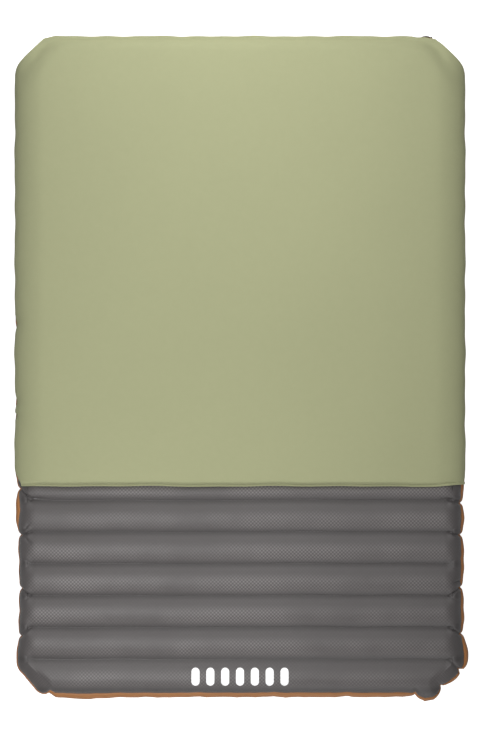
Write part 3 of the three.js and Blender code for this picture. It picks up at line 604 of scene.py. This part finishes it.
# The print is a plain row of upright bars with rounded ends: a point is inside a bar where its distance
# from the bar's inner core is under the rounding.
from_line = maths(tree, "ABSOLUTE", maths(tree, "SUBTRACT", up_pad, PRINT_LINE))
beyond = maths(tree, "SUBTRACT", from_line, BAR_HALF_HEIGHT - BAR_HALF_WIDTH)
nearest_bar = rows_of(tree, over, BAR_PITCH)
corner = put(tree, "ShaderNodeCombineXYZ", nearest_bar, maths(tree, "MAXIMUM", beyond, 0.0), 0.0).outputs[0]
distance = put(tree, "ShaderNodeVectorMath", corner, operation="LENGTH").outputs["Value"]
in_row = maths(tree, "LESS_THAN", maths(tree, "ABSOLUTE", over), BAR_PITCH * BAR_COUNT / 2)
inked = maths(tree, "MULTIPLY", maths(tree, "LESS_THAN", distance, BAR_HALF_WIDTH), in_row)
inked = maths(tree, "MULTIPLY", inked, maths(tree, "GREATER_THAN", height, MIDDLE))
tree.links.new(blend_colours(tree, inked, grey, INK), shader.inputs["Base Color"])
# The bars also glow a little through the emission: painted light that makes the white print brighter than the
# lamps make it.
tree.links.new(blend_colours(tree, inked, (0, 0, 0, 1), INK), shader.inputs["Emission Color"])
cell_height = maths(tree, "MULTIPLY", maths(tree, "MULTIPLY", dots, level_part), 0.7)
raise_relief(tree, shader, maths(tree, "MULTIPLY_ADD", threads, 0.3, cell_height), 0.0006, 0.8)
casing_top.data.materials.append(top_fabric)

ORANGE = (0.50, 0.208, 0.064, 1)
ORANGE_THREAD = (0.41, 0.166, 0.048, 1)
bottom_fabric, tree, shader, cloth, place = finish_material(
    "coated_weave", 0.48, Sheen_Weight=0.15, Sheen_Roughness=0.5, Coat_Weight=0.08, Coat_Roughness=0.35
)
threads = use_group(tree, lattice, Cloth=cloth, Pitch=THREAD_PITCH)["Height"]
orange = blend_colours(tree, threads, ORANGE_THREAD, ORANGE)
orange = uneven(tree, place, orange, 6.0, 0.22)
tree.links.new(orange, shader.inputs["Base Color"])
raise_relief(tree, shader, threads, 0.0003, 0.7)
casing_bottom.data.materials.append(bottom_fabric)

# ---- Pillow-top cover and its foam ----
# A stretch knit pulled over a foam slab on the casing's head two thirds. It wraps the head end and both
# sides down past the widest line, and comes off the foam in a soft slope to its hem.

PILLOW_ROLL = 0.052
SIDE_ROLL, SIDE_POWER = 0.104, 2.1
HEAD_ROLL, HEAD_POWER = 0.050, 2.5
CLIP_ROLL, CLIP_POWER = 0.075, 2.2
RIM_ROLL = 0.044
RIM_BLEND = 0.05
SNUG_BLEND = 0.006
SNUG_ROLL, SNUG_POWER, SNUG_BASE = 0.062, 1.8, 0.044
COVER_OFF = 0.0025
PILLOW_TOP = cover_high[2]
SLOPE_START, SLOPE_END = 0.0060, 0.0165
HEM_SINK = 0.007
RIM_SHARE = 1.08
RIM_TUCK = 0.075
LEFT_RIM_RISE, LEFT_RISE_LENGTH = 0.66, 0.075
RIGHT_RIM_RISE, RIGHT_RISE_LENGTH = 0.30, 0.045
PULL_RISE, PULL_DEPTH, VALVE_RIM = 0.24, 0.0062, 0.80
RIGHT_CROWN, LEFT_CROWN, HEAD_CROWN = 0.011, 0.003, 0.003
BINDING_WIDTH = 0.0085
PULL_INS = [(0.122, 0.018), (-0.100, 0.018), (-0.139, 0.007)]


def hem_wander(x):
    """How far the hem line wanders along the pad's length at each x."""
    return 0.0011 * waves(x, 31, [0.52, 0.31, 0.17]) + 0.0028 * smooth(x, 0.55, 0.63)


def crown_drop(x, y):
    """How far the cover's top lies below its highest level: it falls off towards the right side most, a
    little towards the left side and the head."""
    right = RIGHT_CROWN * smooth(x, 0.36, 0.66)
    left = LEFT_CROWN * smooth(-x, 0.45, 0.66)
    ends = HEAD_CROWN * smooth(y, 0.76, cover_high[1]) + HEM_SINK * (1 - smooth(y, HEM_LINE, -0.02))
    return right + left + ends


def climb_at(y):
    """How far the cover has climbed from the casing to its full height, a quarter circle from the hem."""
    t = np.clip((y - HEM_LINE - SLOPE_START) / (SLOPE_END - SLOPE_START), 0, 1)
    return np.sqrt(1 - (1 - t) ** 2)


def rolled(inset, roll, power):
    """A superellipse's rise, 0 at the outline and 1 from one roll width inside it: (1 - u^p)^(1/p)."""
    return (1 - np.clip(1 - inset / roll, 0, 1) ** power) ** (1 / power)


def plan_out(share, off):
    """How far outside the grid a share of the edge lies, at a distance off the casing. Past share 1 the
    edge tucks in a little."""
    held, under = np.clip(share, 0, 1), np.maximum(share - 1, 0)
    return (PILLOW_ROLL + off) * np.sin(held * math.pi / 2) - 0.02 * under


def snug_height(inset, y, off):
    """The cover's height where it lies on the bare casing, which the hem presses in."""
    press = HEM_PRESS * groove(y - HEM_LINE - 0.004, HEM_PRESS_WIDTH)
    return SNUG_BASE + (2 * MIDDLE - SNUG_BASE + off - press) * rolled(inset, SNUG_ROLL, SNUG_POWER)


def cover_height(x, y, share, climb, top, off):
    """The cover's height over the plan point x, y: on the foam the product of the rolls at the sides, the
    head end and the clipped corners, kept under the rim's own roll, and mixed with the snug height."""
    clip = (HALF_X - np.abs(x) + CENTRE_Y + HALF_Y - y - CORNER_CUT) * math.sqrt(0.5)
    full = rolled(HALF_X - np.abs(x), SIDE_ROLL, SIDE_POWER) * rolled(clip, CLIP_ROLL, CLIP_POWER)
    full = full * rolled(CENTRE_Y + HALF_Y - y, HEAD_ROLL, HEAD_POWER)
    inset = PILLOW_ROLL * (1 - np.sin(np.clip(share, 0, 1) * math.pi / 2))
    rim = rolled(inset, RIM_ROLL, SIDE_POWER)
    near = np.clip(1 - np.abs(full - rim) / RIM_BLEND, 0, 1)
    full = np.minimum(full, rim) - RIM_BLEND / 4 * near**2 * (1 - smooth(share, 0.6, 1.0))
    low = snug_height(HALF_X - np.abs(x), y, off)
    high = MIDDLE + (top - MIDDLE) * full
    near = np.clip(1 - np.abs(high - low) / SNUG_BLEND, 0, 1)
    high = np.maximum(high, low) + SNUG_BLEND / 4 * near**2
    return low + (high - low) * climb - RIM_TUCK * np.maximum(share - 1, 0)


def rim_share(x, y):
    """How far down the wall the cover's free edge lies: tucked under all round, but higher at both ends of
    the hem, over the valve, and at a few places on the left side."""
    from_hem = y - HEM_LINE
    rim = np.full(x.shape, RIM_SHARE)
    rim -= LEFT_RIM_RISE * (1 - smooth(from_hem, 0.0, LEFT_RISE_LENGTH)) * (x < 0)
    rim -= RIGHT_RIM_RISE * (1 - smooth(from_hem, 0.0, RIGHT_RISE_LENGTH)) * (x > 0)
    for place_y, half in PULL_INS:
        rim -= PULL_RISE * groove(y - place_y, half) * (x < 0)
    by_valve = smooth(y, 0.80, 0.90) * (1 - smooth(np.abs(x - VALVE_AT[0]), 0.029, 0.055))
    return rim - (rim - VALVE_RIM) * by_valve


def cover_surface(layout, ring_count, off):
    """The cover's points at a distance off the casing and foam, and each point's share of the edge."""
    x, y, nx, ny, ring = (layout[key] for key in ("x", "y", "nx", "ny", "ring"))
    climb = climb_at(y)
    edge_x, edge_y = x + nx * PILLOW_ROLL, y + ny * PILLOW_ROLL
    share = rim_share(edge_x, edge_y) * np.maximum(ring, 0) / ring_count
    out, plain_out = plan_out(share, off), plan_out(np.minimum(share, 1), 0)
    plan_x, plan_y = x + nx * plain_out, y + ny * plain_out
    top = PILLOW_TOP - COVER_OFF + off - crown_drop(plan_x, plan_y)
    height = cover_height(plan_x, plan_y, share, climb, top, off)
    along = np.where(np.abs(nx) > 0.5, edge_y, edge_x)
    belly = np.sin(np.clip(share, 0, 1) * math.pi / 2) ** 2
    out += belly * (0.0011 * waves(along, 41, [0.139, 0.083, 0.27]) - 0.0006)
    for place_y, half in PULL_INS:
        out -= PULL_DEPTH * belly * groove(edge_y - place_y, half) * (nx < -0.5)
    level = (1 - smooth(share, 0.0, 0.7)) * climb
    height -= 0.0006 * (1 - waves(x, 42, [0.61, 0.37]) * waves(y, 43, [0.57, 0.33])) * level
    wander = hem_wander(edge_x) * (1 - smooth(y - HEM_LINE, 0.0, 0.10))
    return np.stack([x + nx * out, y + ny * out + wander, height], 1), share


COVER_RINGS = 18
climb_rows = [0.0065, 0.0067, 0.0072, 0.008, 0.0092, 0.0108, 0.0128, 0.0152, 0.018, 0.021, 0.024, 0.027]
hem_rows = HEM_LINE + np.array(climb_rows + [0.031, 0.036])
cover_corner = CENTRE_Y + corner_rows(PILLOW_ROLL, 0.006)
even_rows = np.linspace(hem_rows[-1], cover_corner[0], 150)[1:]
cover_rows = np.concatenate([hem_rows, even_rows, cover_corner[1:]])
cover_rows = cover_rows[np.concatenate([[True], np.diff(cover_rows) > 0.0004])]
cover_layout = lay_out(cover_rows, PILLOW_ROLL, np.arange(8) * 0.006, 84, COVER_RINGS, True)
points, share = cover_surface(cover_layout, COVER_RINGS, COVER_OFF)
COVER_RUN, KNIT_THICKNESS = 0.1, 0.0011
wall_run = np.where(cover_layout["ring"] > 0, share * COVER_RUN, 0)
cover_cloth = np.stack([cover_layout[at] + cover_layout["n" + at] * wall_run for at in ("x", "y")], 1)
pillow_top = mesh_piece("pillow_top_cover", points, cover_layout["faces"], cover_cloth, wall=KNIT_THICKNESS)

# Foam: one slab cut to the cover's plan, its top eased over at the sides and feathered to the hem.
FOAM_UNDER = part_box("foam_layer")[0].z
FOAM_SHARE, FOAM_RINGS, FOAM_STEP_BACK, FOAM_DOWN = 0.24, 5, 0.003, 0.0045
foam_start = HEM_LINE + np.array([0.012, 0.014, 0.0175, 0.022, 0.027])
even_rows = np.linspace(-0.29, cover_corner[0], 70)
foam_rows = np.concatenate([foam_start, even_rows, cover_corner[1::2], cover_corner[-1:]])
foam_rows = foam_rows[np.concatenate([[True], np.diff(foam_rows) > 0.0004])]
foam_layout = lay_out(foam_rows, PILLOW_ROLL, np.arange(4) * 0.012, 40, FOAM_RINGS, True)
x, y, nx, ny, ring = (foam_layout[key] for key in ("x", "y", "nx", "ny", "ring"))
foam_share = FOAM_SHARE * np.maximum(ring, 0) / FOAM_RINGS
foam_climb = climb_at(y - FOAM_STEP_BACK)
foam_out = plan_out(foam_share, 0)
foam_x, foam_y = x + nx * foam_out, y + ny * foam_out
foam_edge = PILLOW_TOP - FOAM_DOWN - crown_drop(foam_x, foam_y)
foam_top = cover_height(foam_x, foam_y, foam_share, foam_climb, foam_edge, -0.0010) - 0.0004
upper = np.stack([foam_x, foam_y, foam_top], 1)
lower = np.stack([foam_x, foam_y, np.minimum(FOAM_UNDER, foam_top - 0.0010)], 1)
count = len(upper)
open_ends = foam_layout["loops"]
left_side, right_side = open_ends[:, -1][::-1], open_ends[:, 0]
first_row = np.flatnonzero((foam_layout["y"] == foam_rows[0]) & (ring <= 0))
first_row = first_row[np.argsort(foam_layout["x"][first_row])]
border = np.concatenate([open_ends[-1], left_side[1:], first_row[1:], right_side[1:-1]])
beyond_border = np.roll(border, -1)
rim_faces = np.stack([border, border + count, beyond_border + count, beyond_border], -1)
foam_faces = np.concatenate([foam_layout["faces"], foam_layout["faces"][:, ::-1] + count, rim_faces])
foam_slab = mesh_piece("foam_slab", np.concatenate([upper, lower]), foam_faces)


# Hem binding: a flat tube of the same knit, swept over the casing from one wall to the other at the hem,
# with a row of small stitches along its inner side.
def hem_path(count, off):
    """Points across the hem from the right rim over the top to the left rim, and the outward directions."""
    right_rim, left_rim = (float(rim_share(np.array([x]), np.array([HEM_LINE]))[0]) for x in (0.6, -0.6))
    wall_count = count // 8
    across = np.linspace(HALF_X - PILLOW_ROLL, -(HALF_X - PILLOW_ROLL), count - 2 * wall_count)
    right_wall = np.linspace(right_rim, 0, wall_count + 1)[:-1]
    shares = np.concatenate([right_wall, across * 0, np.linspace(0, left_rim, wall_count + 1)[1:]])
    out = plan_out(shares, off)
    height = snug_height(PILLOW_ROLL - plan_out(shares, 0), HEM_LINE + BINDING_WIDTH / 2, off)
    x = np.concatenate([np.ones(wall_count), across, -np.ones(wall_count)])
    x[:wall_count] *= HALF_X - PILLOW_ROLL + out[:wall_count]
    x[-wall_count:] *= HALF_X - PILLOW_ROLL + out[-wall_count:]
    height[wall_count:-wall_count] = snug_height(HALF_X - np.abs(across), HEM_LINE + BINDING_WIDTH / 2, off)
    path = np.stack([x, height], 1)
    way = np.gradient(path, axis=0)
    way /= np.linalg.norm(way, axis=1, keepdims=True)
    return path, np.stack([way[:, 1], -way[:, 0]], 1)


BINDING_POINTS, BINDING_SIDES = 260, 14
BINDING_HALF_THICKNESS, BINDING_END_SHARE = 0.0042, 0.4
BINDING_OFF = 0.0006
BINDING_LENGTH, BINDING_GIRTH = 1.33, 0.004


def binding_half(x):
    """Half the binding's thickness at each x: it is drawn flat towards both ends."""
    near_end = smooth(np.abs(x), HALF_X - 0.07, HALF_X - 0.015)
    return BINDING_HALF_THICKNESS * (1 - (1 - BINDING_END_SHARE) * near_end)


def tube_faces(rows, sides):
    """Four-sided faces round a tube of rows of points, and the index of each point."""
    index = np.arange(rows * sides).reshape(rows, sides)
    turn = np.roll(index, -1, axis=1)
    return np.stack([index[:-1], index[1:], turn[1:], turn[:-1]], -1).reshape(-1, 4), index


path, outward = hem_path(BINDING_POINTS, BINDING_OFF)
around = np.linspace(0, 2 * math.pi, BINDING_SIDES, endpoint=False)
flat_way = np.sign(np.cos(around)) * np.abs(np.cos(around)) ** 0.8
thick_way = 1 + np.sign(np.sin(around)) * np.abs(np.sin(around)) ** 0.9
offset = binding_half(path[:, :1]) * thick_way[None, :]
bind_x = path[:, :1] + outward[:, :1] * offset
bind_z = path[:, 1:] + outward[:, 1:] * offset
bind_y = HEM_LINE + hem_wander(path[:, :1]) + BINDING_WIDTH / 2 * (1 + flat_way[None, :]) + 0 * offset
points = np.stack([bind_x.ravel(), bind_y.ravel(), bind_z.ravel()], 1)
faces, index = tube_faces(BINDING_POINTS, BINDING_SIDES)
binding_faces = faces[:, ::-1].tolist() + [index[0][::-1].tolist(), index[-1].tolist()]
along_cloth = np.repeat(np.linspace(0, BINDING_LENGTH, BINDING_POINTS), BINDING_SIDES)
cloth_uv = np.stack([along_cloth, np.tile(around * BINDING_GIRTH, BINDING_POINTS)], 1)
hem_band = mesh_piece("hem_band", points, binding_faces, cloth_uv)

STITCH_PITCH, STITCH_HALF_LENGTH, STITCH_RADIUS = 0.0046, 0.0014, 0.00042
STITCH_LIFT, STITCH_PLACE = 1.88, 0.72
STITCH_RINGS, STITCH_SIDES = 5, 6
path, outward = hem_path(1400, BINDING_OFF)
path = path + outward * binding_half(path[:, :1]) * STITCH_LIFT
lengths = np.concatenate([[0], np.cumsum(np.linalg.norm(np.diff(path, axis=0), axis=1))])
stops = np.arange(STITCH_PITCH, lengths[-1] - STITCH_PITCH, STITCH_PITCH)
stitch_middle = np.stack([np.interp(stops, lengths, path[:, axis]) for axis in (0, 1)], 1)
stitch_up = np.stack([np.interp(stops, lengths, outward[:, axis]) for axis in (0, 1)], 1)
ring_at = np.array([-1.0, -0.75, 0.0, 0.75, 1.0])
ring_size = np.array([0.25, 0.8, 1.0, 0.8, 0.25])
spin = np.linspace(0, 2 * math.pi, STITCH_SIDES, endpoint=False)
local_along = STITCH_HALF_LENGTH * np.repeat(ring_at, STITCH_SIDES)
local_across = STITCH_RADIUS * np.outer(ring_size, np.cos(spin)).ravel()
local_up = STITCH_RADIUS * np.outer(ring_size, np.sin(spin)).ravel()
way = np.stack([-stitch_up[:, 1], stitch_up[:, 0]], 1)
flat_points = stitch_middle[:, None, :] + way[:, None, :] * local_along[None, :, None]
flat_points = flat_points + stitch_up[:, None, :] * local_up[None, :, None]
line_y = HEM_LINE + BINDING_WIDTH * STITCH_PLACE + hem_wander(stitch_middle[:, :1]) + local_across[None, :]
points = np.stack([flat_points[:, :, 0].ravel(), line_y.ravel(), flat_points[:, :, 1].ravel()], 1)
sides, index = tube_faces(STITCH_RINGS, STITCH_SIDES)
firsts = STITCH_RINGS * STITCH_SIDES * np.arange(len(stops))
side_faces = (firsts[:, None, None] + sides[None]).reshape(-1, 4).tolist()
cap_faces = [(first + end).tolist() for first in firsts for end in (index[0][::-1], index[-1])]
hem_stitches = mesh_piece("hem_stitches", points, side_faces + cap_faces)

# The knit: columns of loops as |sin(pi u / p)|, crossed by courses whose phase swings with the column, so
# that each column shows small v shapes.
knit, given, result = node_group(
    "knit_loops", {"Cloth": ("Vector", None), "Pitch": ("Float", 0.0016)}, {"Height": "Float"}
)
u, v, _ = apart(knit, given["Cloth"])
half_turns = maths(knit, "DIVIDE", maths(knit, "MULTIPLY", u, math.pi), given["Pitch"])
column = maths(knit, "ABSOLUTE", maths(knit, "SINE", half_turns))
course = maths(knit, "DIVIDE", maths(knit, "MULTIPLY", v, 2 * math.pi), given["Pitch"])
courses = maths(knit, "SINE", maths(knit, "MULTIPLY_ADD", column, 2.2, course))
raised = maths(knit, "MULTIPLY_ADD", courses, 0.3, 0.7)
knit.links.new(maths(knit, "MULTIPLY", column, raised), result["Height"])

GREEN = (0.455, 0.468, 0.272, 1)
GREEN_HOLLOW = (0.385, 0.398, 0.222, 1)
KNIT_PITCH = 0.0019


def knit_material(name, colour, hollow):
    """The stretch knit: slightly darker between its loops, dyed unevenly by a few percent, with a soft
    nap that lightens at a grazing angle."""
    material, tree, shader, cloth, place = finish_material(
        name, 0.88, Sheen_Weight=0.35, Sheen_Roughness=0.6, Sheen_Tint=(0.80, 0.84, 0.50, 1)
    )
    loops = use_group(tree, knit, Cloth=cloth, Pitch=KNIT_PITCH)["Height"]
    green = blend_colours(tree, loops, hollow, colour)
    green = uneven(tree, place, green, 2.5, 0.07)
    green = uneven(tree, place, green, 60.0, 0.05)
    tree.links.new(green, shader.inputs["Base Color"])
    raise_relief(tree, shader, loops, 0.0004, 0.5)
    return material


green_knit = knit_material("stretch_knit", GREEN, GREEN_HOLLOW)
pillow_top.data.materials.append(green_knit)
hem_band.data.materials.append(green_knit)

THREAD_GREEN = (0.40, 0.41, 0.24, 1)
thread_material, tree, shader, _, place = finish_material("stitch_thread", 0.6, Sheen_Weight=0.2)
thread_colour = uneven(tree, place, THREAD_GREEN, 300.0, 0.3)
tree.links.new(thread_colour, shader.inputs["Base Color"])
hem_stitches.data.materials.append(thread_material)

FOAM_PORE, FOAM_WALL = (0.55, 0.52, 0.38, 1), (0.80, 0.77, 0.60, 1)
foam_material, tree, shader, _, place = finish_material("open_cell_foam", 0.95)
pores = put(tree, "ShaderNodeTexVoronoi", place, None, 900.0).outputs[0]
foam_colour = blend_colours(tree, maths(tree, "MULTIPLY", pores, 1.4), FOAM_PORE, FOAM_WALL)
foam_colour = uneven(tree, place, foam_colour, 8.0, 0.1)
tree.links.new(foam_colour, shader.inputs["Base Color"])
raise_relief(tree, shader, pores, 0.0005, 0.6)
foam_slab.data.materials.append(foam_material)

for piece, node, finish in (
    (pillow_top, "pillow_cover", "pillow_knit"),
    (foam_slab, "foam_layer", "foam"),
    (hem_band, "hem_binding", "pillow_knit"),
):
    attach(piece, "pad")
    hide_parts(node)
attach(hem_stitches, "pad")

# ---- Ribs ----
# Nineteen cross ribs of the same laminated film inside the casing, each welded to both sheets.

FILM_DARK, FILM_LIGHT = (0.09, 0.086, 0.086, 1), (0.125, 0.12, 0.12, 1)
rib_film, tree, shader, _, place = finish_material("rib_film", 0.5, Coat_Weight=0.1, Coat_Roughness=0.3)
weave = use_group(tree, lattice, Cloth=place, Pitch=THREAD_PITCH)["Height"]
film = blend_colours(tree, weave, FILM_DARK, FILM_LIGHT)
film = uneven(tree, place, film, 12.0, 0.2)
tree.links.new(film, shader.inputs["Base Color"])
raise_relief(tree, shader, weave, 0.0002, 0.5)
for name in RIB_NAMES:
    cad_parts[name].material_slots[0].material = rib_film

# ---- Valve ----
# A flat two-level valve of soft moulded plastic: a cream base welded into the wall, a dark collar and cap
# on snap-in hinges, rubber gaskets between them and a silicone flap behind the port.

scuffs, given, result = node_group(
    "moulded_grain",
    {"Place": ("Vector", None), "Colour": ("Color", None), "Rubbed": ("Color", None)},
    {"Colour": "Color", "Height": "Float", "Roughness": "Float"},
)
grain = put(scuffs, "ShaderNodeTexNoise", given["Place"], None, 2600.0, 3.0).outputs[0]
rubs = put(scuffs, "ShaderNodeTexNoise", given["Place"], None, 160.0, 5.0, 0.7).outputs[0]
worn = ramp(scuffs, rubs, 0.56, 0.74, 0.0, 0.45, "LINEAR")
scuffs.links.new(blend_colours(scuffs, worn, given["Colour"], given["Rubbed"]), result["Colour"])
scuffs.links.new(grain, result["Height"])
scuffs.links.new(ramp(scuffs, rubs, 0.3, 0.75, 0.38, 0.62, "LINEAR"), result["Roughness"])


def moulded(name, colour, rubbed, depth, **constants):
    """A moulded finish: fine mould grain in the normal and lighter rubbed patches."""
    material, tree, shader, _, place = finish_material(name, 0.5, **constants)
    made = use_group(tree, scuffs, Place=place, Colour=colour, Rubbed=rubbed)
    tree.links.new(made["Colour"], shader.inputs["Base Color"])
    tree.links.new(made["Roughness"], shader.inputs["Roughness"])
    raise_relief(tree, shader, made["Height"], depth, 0.5)
    return material


CREAM, CREAM_RUBBED = (0.62, 0.44, 0.24, 1), (0.72, 0.56, 0.36, 1)
BROWN, BROWN_RUBBED = (0.050, 0.028, 0.016, 1), (0.10, 0.065, 0.042, 1)
BLACK, BLACK_RUBBED = (0.016, 0.015, 0.014, 1), (0.03, 0.03, 0.03, 1)
SILICONE, SILICONE_RUBBED = (0.27, 0.26, 0.24, 1), (0.34, 0.33, 0.31, 1)
PLASTIC_GRAIN, RUBBER_GRAIN = 0.0001, 0.00005
cream_plastic = moulded("cream_soft_plastic", CREAM, CREAM_RUBBED, PLASTIC_GRAIN, Subsurface_Weight=0.05)
brown_plastic = moulded("brown_soft_plastic", BROWN, BROWN_RUBBED, PLASTIC_GRAIN, Coat_Weight=0.1)
gasket_rubber = moulded("gasket_rubber", BLACK, BLACK_RUBBED, RUBBER_GRAIN)
flap_silicone = moulded("flap_silicone", SILICONE, SILICONE_RUBBED, RUBBER_GRAIN)
for name, finish in (
    ("valve_base", cream_plastic), ("valve_collar", brown_plastic), ("valve_cap", brown_plastic),
    ("collar_gasket", gasket_rubber), ("cap_gasket", gasket_rubber), ("one_way_flap", flap_silicone),
):
    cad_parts[name].material_slots[0].material = finish

# ---- Floor and light ----
# A pale floor and soft studio light from the left and the foot end, under an even white sky.

FLOOR_HALF = 12.0
FLOOR_GAP = 0.0004
floor_corners = np.array([(-1, -1, 0), (1, -1, 0), (1, 1, 0), (-1, 1, 0)]) * FLOOR_HALF - (0, 0, FLOOR_GAP)
floor = mesh_piece("floor", floor_corners, np.array([[0, 1, 2, 3]]))
floor_paint, tree, shader, _, _ = finish_material("pale_floor", 0.9)
shader.inputs["Base Color"].default_value = (0.72, 0.72, 0.72, 1)
shader.inputs["Emission Color"].default_value = (1, 1, 1, 1)
seen = tree.nodes.new("ShaderNodeLightPath").outputs["Is Camera Ray"]
tree.links.new(seen, shader.inputs["Emission Strength"])
floor.data.materials.append(floor_paint)


def area_light(name, place, aim, size, power):
    """A square soft box at place, facing aim."""
    data = bpy.data.lights.new(name, "AREA")
    data.size, data.energy = size, power
    made = bpy.data.objects.new(name, data)
    x, y, z = (end - start for end, start in zip(aim, place))
    made.location = place
    made.visible_camera = False
    made.rotation_euler = (math.atan2(math.hypot(x, y), -z), 0, math.atan2(y, x) - math.pi / 2)
    bpy.context.collection.objects.link(made)


area_light("foot_box", (-0.45, -0.90, 1.5), (-0.30, -0.60, 0), 0.6, 10.5)
area_light("raking_box", (0.6, -4.4, 1.5), (0.2, 0.0, 0), 1.0, 35)
area_light("head_box", (0.0, 1.15, 1.75), (0, 0.55, 0), 0.8, 18)
area_light("head_strip", (-0.1, 1.75, 0.55), (0, 0.85, 0.05), 0.7, 5.6)
area_light("top_box", (0.0, -0.30, 3.4), (0, -0.2, 0), 1.5, 25)
SKY = 0.04
world = bpy.data.worlds.new("studio")
world.use_nodes = True
sky = world.node_tree.nodes["Background"].inputs
sky["Color"].default_value = (1, 1, 1, 1)
seen = world.node_tree.nodes.new("ShaderNodeLightPath").outputs["Is Camera Ray"]
world.node_tree.links.new(maths(world.node_tree, "MULTIPLY_ADD", seen, 1 - SKY, SKY), sky["Strength"])
bpy.context.scene.world = world
bpy.context.scene.view_settings.view_transform = "Standard"
